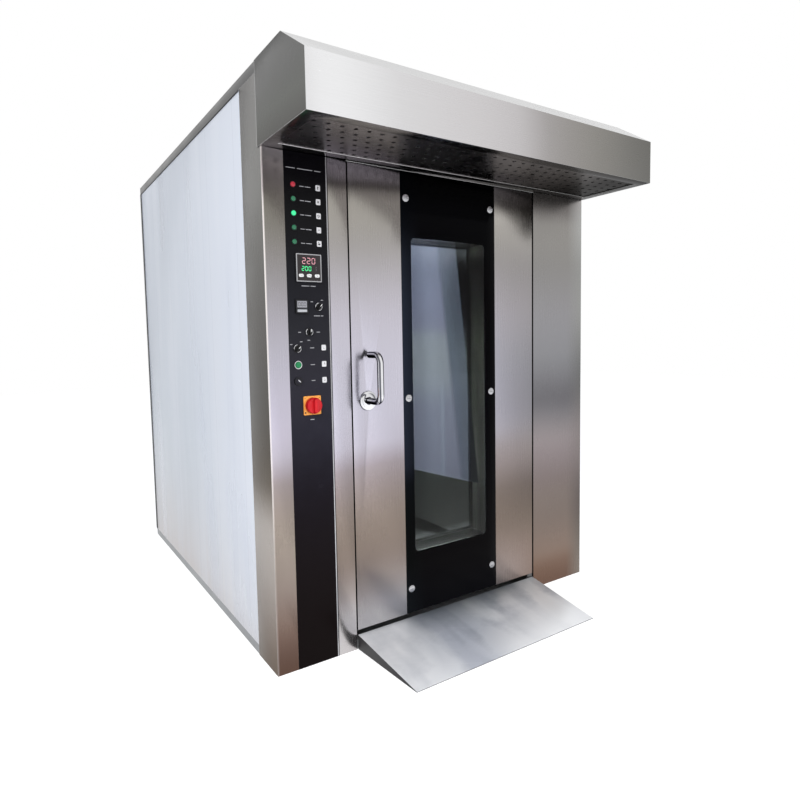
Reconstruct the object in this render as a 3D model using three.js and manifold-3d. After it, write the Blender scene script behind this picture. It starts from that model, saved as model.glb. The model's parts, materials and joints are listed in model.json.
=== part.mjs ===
// Rotating rack oven: a bakery cabinet oven with one full-height glazed door,
// a control column, an extraction hood, a turning rack carrier and a loading ramp.
// Millimetres, +Z up. While modelling, y = 0 is the front face of the cabinet,
// z = 0 the floor and x = 0 the middle of the cabinet's width.
import * as THREE from 'three';
import { mergeVertices } from 'three/addons/utils/BufferGeometryUtils.js';
import Module from 'manifold-3d';

const wasm = await Module();
wasm.setup();

// ---- driving dimensions ----

// The front face, from left to right.
const postWidth = 80;
const controlPanelWidth = 157;
const jambStripWidth = 83;
const doorwayWidth = 950;
const columnWidth = 330;

// The cabinet.
const cabinetDepth = 1920;
const baseHeight = 38;
const trimHeight = 37;
const trimFlange = 34;
const postDepth = 182;
const jambDepth = 100;
const sheet = 2;
const seatGap = 0.3;
const panelFlange = 22;
const baseRailWidth = 60;
const baseRailWall = 4;

// The floor, the baking chamber and its lagging.
const floorThickness = 16.7;
const chamberHalfWidth = 588;
const chamberHeight = 1795;
const headerDrop = 33;
const roofBayHeight = 152.4;
const laggingThickness = 100;
const ceilingLagging = 90;
const frameThickness = 4;
const frameInset = 40;
const headInset = 47;
const ductDepth = 515;
const louvreWidth = 110;
const louvreHeight = 60;
const louvrePitch = 165;
const louvreInset = 70;
const louvreFirst = 150;
const louvreTop = 240;
const inletRadius = 170;
const inletDrop = 233;

// The hood.
const hoodReach = 356;
const hoodLap = 25;
const hoodFrontHeight = 171;
const hoodTopDepth = 195;
const hoodLip = 45;
const hoodRearStrip = 46;
const hoodUpstand = 40;
const holeRadius = 7.5;
const holePitch = 48;
const holeRows = 6;
const holeRowPitch = 45;
const holeFirstRow = 283;
const holeEdge = 50;
const holeSides = 6;

// The door.
const doorGap = 6;
const doorThickness = 84;
const doorClearBelow = 20;
const hingeInset = 12;
const hingeDepth = 11;
const hingePinRadius = 7;
const hingePinLength = 20;
const hingePlateWidth = 30;
const hingePlateDepth = 60;
const hingePlateThickness = 4.5;
const runningGap = 0.4;
const glassInset = 227;
const glassThickness = 6;
const windowLeft = 47;
const windowRight = 60;
const windowBottom = 247;
const windowTop = 247;
const windowCorner = 18;
const windowLip = 8;
const plugInset = 46;
const plugBottom = 21;
const plugTop = 61;
const plugDepth = 24;
const gasketWidth = 16;
const gasketInset = 14;
const screwRadius = 15;
const screwHead = 5;
const screwShank = 5;
const screwSlot = 3;
const screwInset = 25.3;
const screwEnd = 98;

// The handle and its latch.
const handleInset = 66;
const handleHeight = 872;
const handleSpan = 172;
const handleReach = 91;
const handleTube = 12.25;
const handleBend = 30;
const handleEndGap = 9;
const roseRadius = 36;
const roseThickness = 8;
const spindleRadius = 7;
const tongueLength = 105;
const tongueWidth = 22;
const tongueThickness = 8;
const tongueDepth = 30;
const tongueHub = 15;
const tongueSlotTop = 17;
const tongueSlotBottom = 97;
const tonguePlay = 3;
const keeperDepth = 34;

// The turning gear and the fan.
const turntableRadius = 500;
const turntableClearance = 6;
const turntableThickness = 12.4;
const pivotRadius = 15;
const pivotHeight = 8;
const carrierShaftRadius = 20;
const carrierSpan = 600;
const carrierBar = 40;
const carrierBarThickness = 12;
const carrierDrop = 46;
const hookDrop = 48;
const hookLength = 60;
const hookThickness = 10;
const gearBoxSize = 150;
const gearBoxHeight = 124;
const gearFlange = 25;
const gearMotorLength = 190;
const gearMotorRadius = 58;
const fanRadius = 215;
const fanHeight = 110;
const fanBlades = 8;
const fanDrop = 60;
const fanShaftRadius = 12.5;
const fanMotorRadius = 105;
const fanMotorHeight = 128;
const fanMotorFlange = 25;
const shaftClearance = 8;
const laggingClearance = 20;

// Heaters and flue.
const heaterCount = 6;
const heaterPitch = 130;
const heaterFirst = 520;
const heaterLength = 700;
const heaterRadius = 8;
const heaterBend = 45;
const heaterPlate = 5;
const heaterStandoff = 130;
const flueRadius = 75;
const flueAcross = 420;
const flueBack = 330;
const bladeClearance = 2.5;
const bladeThickness = 3;
const bladeDrop = 107;
const bladeSpindle = 4;
const bladeLever = 60;
const bladeLeverGap = 8;
const bladeLeverThickness = 6;
const bladeLeverWidth = 16;

// The control column; offsets are from the panel's left edge, and each drop is from
// the piece above, down from the panel's top.
const panelThickness = 3;
const lampHoleRadius = 8;
const lensRadius = 8.6;
const lensReach = 7;
const lampRingRadius = 11;
const indicatorOffset = 31.3;
const indicatorDrop = 111;
const indicatorPitch = 48;
const indicatorCount = 5;
const controllerOffset = 80.5;
const controllerDrop = 87;
const controllerSize = 96;
const controllerBody = 90;
const controllerReach = 8;
const controllerDepth = 62;
const keyWidth = 18;
const keyHeight = 11;
const keyPitch = 30.3;
const keyDrop = 27;
const keyThickness = 5.5;
const keyProud = 1.5;
const keyPlay = 0.4;
const timerOffset = 51;
const timerDrop = 133;
const timerSize = 48;
const timerBody = 44;
const timerReach = 6;
const timerKeyWidth = 36;
const timerKeyHeight = 9;
const timerKeyDrop = 15;
const timerKeyThickness = 3.6;
const switchBodyRadius = 10.9;
const switchHoleRadius = 11.3;
const switchRingRadius = 14.5;
const switchRingReach = 4;
const switchDepth = 34;
const selectorReach = 17;
const selectorGrip = 6;
const selectorOffsets = [116, 77, 30];
const selectorDrop = 88.5;
const switchPitch = 56.7;
const buttonOffset = 31;
const buttonReach = 8;
const buzzerOffset = 30;
const buzzerReach = 6;
const isolatorOffset = 80.5;
const isolatorDrop = 88;
const isolatorPlateWidth = 67;
const isolatorPlateThickness = 4;
const isolatorRadius = 28.5;
const isolatorBase = 14;
const isolatorGrip = 20;
const isolatorGripWidth = 14;
const isolatorShaft = 5;

// The loading ramp.
const rampLength = 356;
const rampGap = 5;
const rampTaper = 18;
const rampRise = 57;
const rampSheet = 3;
const rampTip = 3;

// ---- places worked out from the dimensions ----

const cabinetWidth = postWidth + controlPanelWidth + jambStripWidth + doorwayWidth + columnWidth;
const left = -cabinetWidth / 2;
const right = cabinetWidth / 2;
const panelLeft = left + postWidth;
const panelRight = panelLeft + controlPanelWidth;
const doorwayLeft = panelRight + jambStripWidth;
const doorwayRight = doorwayLeft + doorwayWidth;
const doorwayMiddle = (doorwayLeft + doorwayRight) / 2;
const rear = cabinetDepth;

const baseTop = baseHeight + seatGap;
const floorTop = baseTop + floorThickness;
const chamberLeft = doorwayMiddle - chamberHalfWidth;
const chamberRight = doorwayMiddle + chamberHalfWidth;
const chamberTop = floorTop + chamberHeight;
const frontHeight = chamberTop - headerDrop;
const chamberFront = jambDepth + seatGap;
const chamberRear = rear - sheet - seatGap - laggingThickness - seatGap;
const ceilingUnder = chamberTop - sheet;
const ductFront = chamberRear - ductDepth;
const laggingTop = chamberTop + seatGap + ceilingLagging;
const deckBottom = laggingTop + seatGap;
const deckTop = deckBottom + sheet;
const cabinetHeight = deckTop + roofBayHeight;
const sideTop = cabinetHeight - trimHeight;
const frameLeft = doorwayLeft + frameInset;
const frameRight = doorwayRight - frameInset;
const frameTop = frontHeight - headInset;

const doorLeft = doorwayLeft + doorGap;
const doorRight = doorwayRight - doorGap;
const doorBottom = floorTop + doorClearBelow;
const doorTop = frontHeight - doorGap;
const hingeX = doorRight - hingeInset;
const glassX0 = doorLeft + glassInset;
const glassX1 = doorRight - glassInset;
const pocketFloor = glassThickness + seatGap;
const pocketBack = pocketFloor + sheet;
const windowX0 = glassX0 + windowLeft;
const windowX1 = glassX1 - windowRight;
const windowZ0 = doorBottom + windowBottom;
const windowZ1 = doorTop - windowTop;
const panFront = doorThickness - sheet;
const plugBack = doorThickness + plugDepth;
const handleX = doorLeft + handleInset;
const handleZ = doorBottom + handleHeight;

const turnY = (chamberFront + ductFront) / 2;
const fanY = (ductFront + sheet + chamberRear) / 2;
const carrierTop = ceilingUnder - carrierDrop;
const shaftHole = carrierShaftRadius + shaftClearance;
const fanHole = fanShaftRadius + shaftClearance;
const flueX = doorwayMiddle - flueAcross;
const flueY = chamberRear - flueBack;
const bladeZ = cabinetHeight - bladeDrop;

// ---- helpers ----

const part = new THREE.Group();
part.name = 'rotating_rack_oven';

function finish(color, roughness, metalness, extra = {}) {
  return new THREE.MeshStandardMaterial({ color, roughness, metalness, ...extra });
}

const materials = {
  steel: finish('#bdbbc0', 0.34, 0.9),
  film: finish('#d6dce6', 0.42, 0.2),
  blackPanel: finish('#101014', 0.28, 0.1),
  darkSteel: finish('#6f6e72', 0.45, 0.8),
  galvanised: finish('#9a9ea2', 0.5, 0.75),
  chrome: finish('#d8dadd', 0.12, 1),
  wool: finish('#c9b98a', 0.95, 0),
  glass: finish('#20282c', 0.06, 0.1, { transparent: true, opacity: 0.55 }),
  rubber: finish('#1b1b1c', 0.8, 0),
  motorPaint: finish('#4d5a66', 0.5, 0.3),
  blackPlastic: finish('#151517', 0.42, 0),
  greyPlastic: finish('#cfd1d3', 0.45, 0),
  whitePlastic: finish('#e9eaea', 0.4, 0),
  redLens: finish('#e0231c', 0.25, 0),
  greenLens: finish('#4dbf59', 0.25, 0),
  greenButton: finish('#3fa34d', 0.35, 0),
  yellowPlate: finish('#f2b233', 0.45, 0),
  redKnob: finish('#d92a22', 0.4, 0),
};

function add(name, geometry, material, group = part) {
  const mesh = new THREE.Mesh(geometry, material);
  mesh.name = name;
  group.add(mesh);
  return mesh;
}

// An upright box between two corners.
function box(x0, x1, y0, y1, z0, z1) {
  const shape = new THREE.BoxGeometry(x1 - x0, y1 - y0, z1 - z0);
  return shape.translate((x0 + x1) / 2, (y0 + y1) / 2, (z0 + z1) / 2);
}

// Round bars along each axis, from one end to the other.
function postBar(x, y, z0, z1, radius, sides = 24) {
  const shape = new THREE.CylinderGeometry(radius, radius, z1 - z0, sides);
  return shape.rotateX(Math.PI / 2).translate(x, y, (z0 + z1) / 2);
}

function depthBar(x, z, y0, y1, radius, sides = 24) {
  const shape = new THREE.CylinderGeometry(radius, radius, y1 - y0, sides);
  return shape.translate(x, (y0 + y1) / 2, z);
}

function crossBar(y, z, x0, x1, radius, sides = 24) {
  const shape = new THREE.CylinderGeometry(radius, radius, x1 - x0, sides);
  return shape.rotateZ(Math.PI / 2).translate((x0 + x1) / 2, y, z);
}

function outline(points) {
  return new THREE.Shape(points.map(([u, v]) => new THREE.Vector2(u, v)));
}

function extrude(shape, depth, curveSegments = 6) {
  return new THREE.ExtrudeGeometry(shape, { depth, bevelEnabled: false, curveSegments });
}

// A round section swept along a path of straight runs and bends.
function tube(path, radius, sides, steps) {
  const section = new THREE.Shape();
  section.absarc(0, 0, radius, 0, 2 * Math.PI, false);
  return new THREE.ExtrudeGeometry(section, {
    steps,
    bevelEnabled: false,
    extrudePath: path,
    curveSegments: sides / 2,
  });
}

// A path through corners, with a round bend at each inner corner.
function bentPath(corners, bend) {
  const path = new THREE.CurvePath();
  let start = corners[0];
  for (let i = 1; i < corners.length - 1; i += 1) {
    const before = corners[i].clone().add(
      corners[i - 1].clone().sub(corners[i]).setLength(bend));
    const after = corners[i].clone().add(
      corners[i + 1].clone().sub(corners[i]).setLength(bend));
    path.add(new THREE.LineCurve3(start, before));
    path.add(new THREE.QuadraticBezierCurve3(before, corners[i], after));
    start = after;
  }
  path.add(new THREE.LineCurve3(start, corners[corners.length - 1]));
  return path;
}

function toSolid(geometry) {
  const plain = geometry.clone();
  plain.deleteAttribute('normal');
  plain.deleteAttribute('uv');
  const merged = mergeVertices(plain, 1e-4);
  const vertProperties = new Float32Array(merged.attributes.position.array);
  const triVerts = new Uint32Array(merged.index.array);
  return new wasm.Manifold(new wasm.Mesh({ numProp: 3, vertProperties, triVerts }));
}

function toGeometry(solid) {
  const mesh = solid.getMesh();
  const geometry = new THREE.BufferGeometry();
  const points = new Float32Array(mesh.vertProperties);
  geometry.setAttribute('position', new THREE.BufferAttribute(points, 3));
  geometry.setIndex(new THREE.BufferAttribute(new Uint32Array(mesh.triVerts), 1));
  geometry.computeVertexNormals();
  return geometry;
}

// Joins the first list into one solid and cuts the second list out of it.
function shape(bodies, holes = []) {
  let solid = toSolid(bodies[0]);
  for (const body of bodies.slice(1)) solid = solid.add(toSolid(body));
  for (const hole of holes) solid = solid.subtract(toSolid(hole));
  return toGeometry(solid);
}

// ---- base, floor and cabinet skins ----

const railOut = sheet + seatGap;
const railFront = Math.max(sheet, panelThickness) + seatGap;

function baseFrame() {
  const outer = box(left + railOut, right - railOut, railFront, rear - railOut, 0, baseHeight);
  const inner = box(left + railOut + baseRailWidth, right - railOut - baseRailWidth,
    railFront + baseRailWidth, rear - railOut - baseRailWidth, -1, baseHeight + 1);
  const runners = [chamberLeft, chamberRight - baseRailWidth].map((x) => box(
    x, x + baseRailWidth, railFront + baseRailWall, rear - railOut - baseRailWall, 0, baseHeight));
  return shape([shape([outer], [inner]), ...runners]);
}

function floorPlate() {
  const plate = box(chamberLeft - laggingThickness, chamberRight + laggingThickness,
    railFront, rear - railOut - panelFlange, baseTop, floorTop);
  const sill = box(doorwayLeft + seatGap, doorwayRight - seatGap, 0, railFront + 1,
    baseTop, floorTop);
  const recessFloor = floorTop - turntableThickness - seatGap;
  const recess = postBar(doorwayMiddle, turnY, recessFloor, floorTop + 1,
    turntableRadius + turntableClearance, 72);
  const pivot = postBar(doorwayMiddle, turnY, recessFloor - 1, recessFloor + pivotHeight,
    pivotRadius);
  return shape([shape([plate, sill], [recess]), pivot]);
}

// Three slabs of lagging and its ceiling, made as one open-fronted box.
function lagging() {
  const back = rear - sheet - seatGap;
  const outer = box(chamberLeft - laggingThickness, chamberRight + laggingThickness,
    chamberFront, back, floorTop + seatGap, laggingTop);
  const inner = box(chamberLeft - seatGap, chamberRight + seatGap,
    chamberFront - 1, chamberRear + seatGap, floorTop - 1, chamberTop + seatGap);
  const low = chamberTop - 1;
  const high = laggingTop + 1;
  return shape([outer], [
    inner,
    postBar(doorwayMiddle, turnY, low, high, carrierShaftRadius + laggingClearance),
    postBar(doorwayMiddle, fanY, low, high, fanShaftRadius + laggingClearance),
    postBar(flueX, flueY, low, high, flueRadius + seatGap, 32),
  ]);
}

// A side skin with its edges folded inwards all round.
function sideSkin(side) {
  const outer = side < 0 ? left : right - panelFlange;
  const y0 = postDepth + seatGap;
  const y1 = rear - sheet - seatGap;
  const z1 = sideTop - seatGap;
  const x0 = side < 0 ? outer + sheet : outer - 1;
  const x1 = side < 0 ? outer + panelFlange + 1 : outer + panelFlange - sheet;
  return shape([box(outer, outer + panelFlange, y0, y1, baseTop, z1)], [
    box(x0, x1, y0 + sheet, y1 - sheet, baseTop + sheet, z1 - sheet),
    box(x0, x1, y0 - 1, y1 + 1, deckBottom - 4 * sheet, deckTop + 4 * sheet),
  ]);
}

function rearSkin() {
  const low = box(left + panelFlange + 1, right - panelFlange - 1,
    rear - panelFlange, rear - 1, baseTop, baseTop + sheet);
  return shape([box(left, right, rear - sheet, rear, baseTop, sideTop - seatGap), low]);
}

// Angle trims round the two sides and the back of the open roof bay.
function topTrim() {
  const y0 = hoodLap + seatGap;
  return shape([box(left, right, y0, rear, sideTop, cabinetHeight)], [
    box(left + sheet, right - sheet, y0 - 1, rear - sheet, sideTop - 1, cabinetHeight - sheet),
    box(left + trimFlange, right - trimFlange, y0 - 1, rear - trimFlange,
      sideTop, cabinetHeight + 1),
  ]);
}

function cornerPost() {
  const front = box(left, panelLeft - seatGap, 0, sheet, 0, frontHeight);
  const side = box(left, left + sheet, 0, postDepth, 0, sideTop - seatGap);
  return shape([front, side]);
}

function rightColumn() {
  const front = box(doorwayRight, right, 0, sheet, 0, frontHeight);
  const side = box(right - sheet, right, 0, postDepth, 0, sideTop - seatGap);
  const jamb = box(doorwayRight, doorwayRight + sheet, 0, jambDepth,
    floorTop + seatGap, frontHeight);
  return shape([front, side, jamb]);
}

function slotInJamb(x0, x1) {
  return box(x0, x1, tongueDepth - tonguePlay, tongueDepth + tongueThickness + tonguePlay,
    handleZ - tongueSlotBottom, handleZ - tongueSlotTop);
}

// The strip beside the doorway, with the folded box that the latch swings into.
function jambStrip() {
  const front = box(panelRight + seatGap, doorwayLeft, 0, sheet, 0, frontHeight);
  const jamb = box(doorwayLeft - sheet, doorwayLeft, 0, jambDepth,
    floorTop + seatGap, frontHeight);
  const x1 = doorwayLeft - sheet;
  const y0 = tongueDepth - 2 * tonguePlay;
  const y1 = tongueDepth + tongueThickness + 2 * tonguePlay;
  const z0 = handleZ - tongueSlotBottom - tonguePlay;
  const z1 = handleZ - tongueSlotTop + tonguePlay;
  const keeper = shape([box(x1 - keeperDepth, x1 + 1, y0, y1, z0, z1)], [
    box(x1 - keeperDepth + sheet, x1 + 2, y0 + sheet, y1 - sheet, z0 + sheet, z1 - sheet),
  ]);
  return shape([front, jamb, keeper], [slotInJamb(doorwayLeft - sheet - 1, doorwayLeft + 1)]);
}

// The header stands behind the hood and folds back over the doorway.
function frontHeader() {
  const out = sheet + seatGap;
  const face = box(left + out, right - out, 0, sheet, frontHeight + seatGap,
    cabinetHeight - sheet - seatGap);
  const lip = box(doorwayLeft + seatGap, doorwayRight - seatGap, 0, jambDepth,
    frontHeight + seatGap, frontHeight + seatGap + sheet);
  return shape([face, lip]);
}

// ---- hood ----

const hoodHalf = cabinetWidth / 2 + seatGap + sheet;
const hoodShoulder = frontHeight + hoodFrontHeight;

function hoodOutline() {
  return outline([
    [-hoodReach, frontHeight],
    [hoodLap, frontHeight],
    [hoodLap, cabinetHeight],
    [-hoodTopDepth, cabinetHeight],
    [-hoodReach, hoodShoulder],
  ]);
}

// A slab with the hood's side profile, standing across the width from x0 to x1.
function hoodSlab(x0, x1) {
  const slab = extrude(hoodOutline(), x1 - x0);
  slab.applyMatrix4(new THREE.Matrix4().makeBasis(
    new THREE.Vector3(0, 1, 0), new THREE.Vector3(0, 0, 1), new THREE.Vector3(1, 0, 0)));
  return slab.translate(x0, 0, 0);
}

// The cavity inside the sheet: the same profile drawn in by one sheet.
function hoodCavity() {
  const reach = hoodReach - sheet;
  const slopeRun = hoodReach - hoodTopDepth;
  const slopeRise = cabinetHeight - hoodShoulder;
  const drawIn = sheet * Math.hypot(slopeRun, slopeRise) / slopeRun;
  const shoulder = hoodShoulder - drawIn + sheet * slopeRise / slopeRun;
  const ceiling = cabinetHeight - sheet;
  const top = hoodReach - (ceiling - hoodShoulder + drawIn) * slopeRun / slopeRise;
  const cavity = extrude(outline([
    [-reach, frontHeight - 1],
    [hoodLap + 1, frontHeight - 1],
    [hoodLap + 1, ceiling],
    [-top, ceiling],
    [-reach, shoulder],
  ]), 2 * (hoodHalf - sheet));
  cavity.applyMatrix4(new THREE.Matrix4().makeBasis(
    new THREE.Vector3(0, 1, 0), new THREE.Vector3(0, 0, 1), new THREE.Vector3(1, 0, 0)));
  return cavity.translate(sheet - hoodHalf, 0, 0);
}

function hoodShell() {
  const skin = shape([hoodSlab(-hoodHalf, hoodHalf)], [hoodCavity()]);
  const lipTop = frontHeight + sheet;
  const inside = hoodHalf - sheet / 2;
  const lips = [
    box(-inside, inside, 1 - hoodReach, hoodLip - hoodReach, frontHeight, lipTop),
    box(-inside, hoodLip - hoodHalf, 1 - hoodReach, -seatGap, frontHeight, lipTop),
    box(hoodHalf - hoodLip, inside, 1 - hoodReach, -seatGap, frontHeight, lipTop),
    box(-inside, inside, -seatGap - hoodRearStrip, -seatGap, frontHeight, lipTop),
    box(-inside, inside, -seatGap - sheet, -seatGap, frontHeight, frontHeight + hoodUpstand),
  ];
  return shape([skin, ...lips]);
}

// The perforated plate that lies on the hood's lips, its rows of holes staggered.
function hoodSoffit() {
  const across = hoodHalf - sheet - seatGap;
  const z0 = frontHeight + sheet + seatGap;
  const plate = outline([
    [-across, sheet + seatGap - hoodReach],
    [across, sheet + seatGap - hoodReach],
    [across, -sheet - 2 * seatGap],
    [-across, -sheet - 2 * seatGap],
  ]);
  const reach = hoodHalf - sheet - holeEdge;
  for (let row = 0; row < holeRows; row += 1) {
    const shift = row % 2 === 0 ? holePitch / 2 : 0;
    const y = row * holeRowPitch - holeFirstRow;
    const first = Math.ceil((-reach - shift) / holePitch);
    for (let x = first * holePitch + shift; x <= reach; x += holePitch) {
      const hole = new THREE.Path();
      hole.absarc(x, y, holeRadius, 0, 2 * Math.PI, true);
      plate.holes.push(hole);
    }
  }
  return extrude(plate, sheet, holeSides / 2).translate(0, 0, z0);
}

// ---- chamber ----

// Sides, back and ceiling in one welded liner, with the flat frame at its mouth
// that the door's seal closes against.
function chamberLiner() {
  const z0 = floorTop + seatGap;
  const frameBack = chamberFront + frameThickness;
  const low = ceilingUnder - 1;
  const high = chamberTop + 1;
  return shape([box(chamberLeft, chamberRight, chamberFront, chamberRear, z0, chamberTop)], [
    box(chamberLeft + sheet, chamberRight - sheet, frameBack, chamberRear - sheet,
      z0 - 1, ceilingUnder),
    box(frameLeft, frameRight, chamberFront - 1, frameBack + 1, z0 - 1, frameTop),
    postBar(doorwayMiddle, turnY, low, high, shaftHole),
    postBar(doorwayMiddle, fanY, low, high, fanHole),
    postBar(flueX, flueY, low, high, flueRadius - sheet - 1, 32),
  ]);
}

// The partition with its air slots down both sides and the fan's round inlet.
function ductWall() {
  const x0 = chamberLeft + sheet + seatGap;
  const x1 = chamberRight - sheet - seatGap;
  const y0 = ductFront - 1;
  const y1 = ductFront + sheet + 1;
  const openings = [depthBar(doorwayMiddle, ceilingUnder - inletDrop, y0, y1, inletRadius, 32)];
  const last = ceilingUnder - louvreTop - louvreHeight;
  for (let z = floorTop + louvreFirst; z < last; z += louvrePitch) {
    for (const x of [x0 + louvreInset, x1 - louvreInset - louvreWidth]) {
      openings.push(box(x, x + louvreWidth, y0, y1, z, z + louvreHeight));
    }
  }
  const wall = box(x0, x1, ductFront, ductFront + sheet,
    floorTop + seatGap, ceilingUnder - seatGap);
  return shape([wall], openings);
}

function roofDeck() {
  const edge = sheet + seatGap;
  const low = deckBottom - 1;
  const high = deckTop + 1;
  return shape([box(left + edge, right - edge, edge, rear - edge, deckBottom, deckTop)], [
    postBar(doorwayMiddle, turnY, low, high, shaftHole),
    postBar(doorwayMiddle, fanY, low, high, fanHole),
    postBar(flueX, flueY, low, high, flueRadius + seatGap, 32),
  ]);
}

function heaters() {
  const plateX = chamberRight - sheet - seatGap - heaterPlate;
  const y0 = fanY - heaterStandoff;
  const y1 = fanY + heaterStandoff;
  const top = heaterFirst + (heaterCount - 1) * heaterPitch;
  const plate = box(plateX, plateX + heaterPlate, y0 - heaterBend, y1 + heaterBend,
    floorTop + heaterFirst - heaterBend, floorTop + top + heaterBend);
  const loops = [];
  for (let i = 0; i < heaterCount; i += 1) {
    const z = floorTop + heaterFirst + i * heaterPitch;
    const path = bentPath([
      new THREE.Vector3(plateX + 1, y0, z),
      new THREE.Vector3(plateX - heaterLength, y0, z),
      new THREE.Vector3(plateX - heaterLength, y1, z),
      new THREE.Vector3(plateX + 1, y1, z),
    ], heaterBend);
    loops.push(tube(path, heaterRadius, 6, 16));
  }
  return shape([plate, ...loops]);
}

// ---- door ----

function windowBox(margin, y0, y1) {
  return box(windowX0 - margin, windowX1 + margin, y0, y1, windowZ0 - margin, windowZ1 + margin);
}

function roundedWindow(y0, y1) {
  const r = windowCorner;
  const face = new THREE.Shape();
  face.absarc(windowX1 - r, windowZ1 - r, r, 0, Math.PI / 2, false);
  face.absarc(windowX0 + r, windowZ1 - r, r, Math.PI / 2, Math.PI, false);
  face.absarc(windowX0 + r, windowZ0 + r, r, Math.PI, 1.5 * Math.PI, false);
  face.absarc(windowX1 - r, windowZ0 + r, r, 1.5 * Math.PI, 2 * Math.PI, false);
  return extrude(face, y1 - y0, 3).rotateX(Math.PI / 2).translate(0, y1, 0);
}

const screwXs = [glassX0 + screwInset, glassX1 - screwInset];
const screwZs = [doorBottom + screwEnd, (doorBottom + doorTop) / 2, doorTop - screwEnd];
const screwPlaces = screwXs.flatMap((x) => screwZs.map((z) => [x, z]));

function hingeHoles(radius, y0, y1) {
  return [doorBottom, doorTop].map((z) => postBar(hingeX, hingeDepth,
    z - y0, z + y1, radius));
}

// The front skin with its four edges, and a full-height pocket for the glass.
function doorOuterSkin() {
  const tray = shape(
    [box(doorLeft, doorRight, 0, panFront - seatGap, doorBottom, doorTop)],
    [
      box(doorLeft + sheet, doorRight - sheet, sheet, doorThickness,
        doorBottom + sheet, doorTop - sheet),
      box(glassX0 - seatGap, glassX1 + seatGap, -1, pocketFloor, doorBottom - 1, doorTop + 1),
    ]);
  const back = box(glassX0 - seatGap - sheet, glassX1 + seatGap + sheet,
    pocketFloor, pocketBack, doorBottom, doorTop);
  const webs = [glassX0 - seatGap - sheet, glassX1 + seatGap].map((x) => box(
    x, x + sheet, 0, pocketBack, doorBottom, doorTop));
  const cuts = [
    roundedWindow(-1, pocketBack + 1),
    depthBar(handleX, handleZ, -1, sheet + 1, spindleRadius + runningGap),
    slotInJamb(doorLeft - 1, doorLeft + sheet + 1),
    ...hingeHoles(hingePinRadius + runningGap, sheet + 1, sheet + 1),
    ...screwPlaces.map(([x, z]) => depthBar(x, z, 0, pocketBack + 1,
      screwShank + seatGap, 12)),
  ];
  return shape([tray, back, ...webs], cuts);
}

// The back pan with its raised plug and the lining of the window.
function doorInnerSkin() {
  const plugX0 = doorLeft + plugInset;
  const plugX1 = doorRight - plugInset;
  const plugZ0 = doorBottom + plugBottom;
  const plugZ1 = doorTop - plugTop;
  const pan = box(doorLeft, doorRight, panFront, doorThickness, doorBottom, doorTop);
  const plug = box(plugX0, plugX1, doorThickness - 1, plugBack, plugZ0, plugZ1);
  const hollow = box(plugX0 + sheet, plugX1 - sheet, panFront - 1, plugBack - sheet,
    plugZ0 + sheet, plugZ1 - sheet);
  const lining = shape(
    [windowBox(sheet, pocketBack + seatGap, plugBack - 1)],
    [windowBox(0, pocketBack, plugBack)]);
  const opening = windowBox(-windowLip, plugBack - sheet - 1, plugBack + 1);
  return shape([shape([pan, plug], [hollow, opening]), lining]);
}

function doorWool() {
  const y0 = pocketBack + seatGap;
  const core = box(doorLeft + sheet + seatGap, doorRight - sheet - seatGap, y0,
    panFront - seatGap, doorBottom + sheet + seatGap, doorTop - sheet - seatGap);
  const inset = plugInset + sheet + seatGap;
  const plug = box(doorLeft + inset, doorRight - inset, panFront - 1,
    plugBack - sheet - seatGap, doorBottom + plugBottom + sheet + seatGap,
    doorTop - plugTop - sheet - seatGap);
  const latchRoom = box(doorLeft, handleX + tongueHub + tonguePlay, y0 - 1,
    tongueDepth + tongueThickness + tonguePlay,
    handleZ - tongueLength - 2 * tonguePlay, handleZ + tongueHub + tonguePlay);
  const pinRoom = [doorBottom, doorTop].map((z) => box(hingeX - 2 * hingePinRadius,
    doorRight, 0, hingeDepth + 2 * hingePinRadius, z - 2 * hingePinLength,
    z + 2 * hingePinLength));
  const screwRoom = screwPlaces.map(([x, z]) => depthBar(x, z, y0 - 1,
    pocketBack + 2 * screwShank, 2 * screwShank, 12));
  return shape([core, plug],
    [windowBox(sheet + seatGap, 0, plugBack + 1), latchRoom, ...pinRoom, ...screwRoom]);
}

function outerGlass() {
  const pane = box(glassX0, glassX1, 0, glassThickness, doorBottom, doorTop);
  return shape([pane], screwPlaces.map(([x, z]) => depthBar(x, z, -1, glassThickness + 1,
    screwShank + 2 * seatGap, 12)));
}

function innerGlass() {
  return windowBox(-seatGap, plugBack - sheet - seatGap - glassThickness,
    plugBack - sheet - seatGap);
}

// A round cap on a shank through the glass, with a cut for the driver.
function glassScrew([x, z]) {
  return shape(
    [
      depthBar(x, z, -seatGap - screwHead, -seatGap, screwRadius, 20),
      depthBar(x, z, -seatGap - 1, pocketBack + screwShank, screwShank, 12),
    ],
    [box(x - screwRadius - 1, x + screwRadius + 1, -screwHead - 1, -screwHead + 1,
      z - screwSlot / 2, z + screwSlot / 2)]);
}

function doorGasket() {
  const y0 = doorThickness + seatGap;
  const x0 = doorLeft + gasketInset;
  const x1 = doorRight - gasketInset;
  const z0 = doorBottom + sheet;
  const z1 = frameTop + sheet + gasketWidth;
  return shape([box(x0, x1, y0, jambDepth, z0, z1)], [
    box(x0 + gasketWidth, x1 - gasketWidth, y0 - 1, jambDepth + 1,
      z0 + gasketWidth, z1 - gasketWidth),
  ]);
}

function handleRose() {
  return shape(
    [depthBar(handleX, handleZ, -roseThickness, -seatGap, roseRadius, 40)],
    [depthBar(handleX, handleZ, -roseThickness - 1, 1, handleTube + runningGap, 24)]);
}

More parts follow.
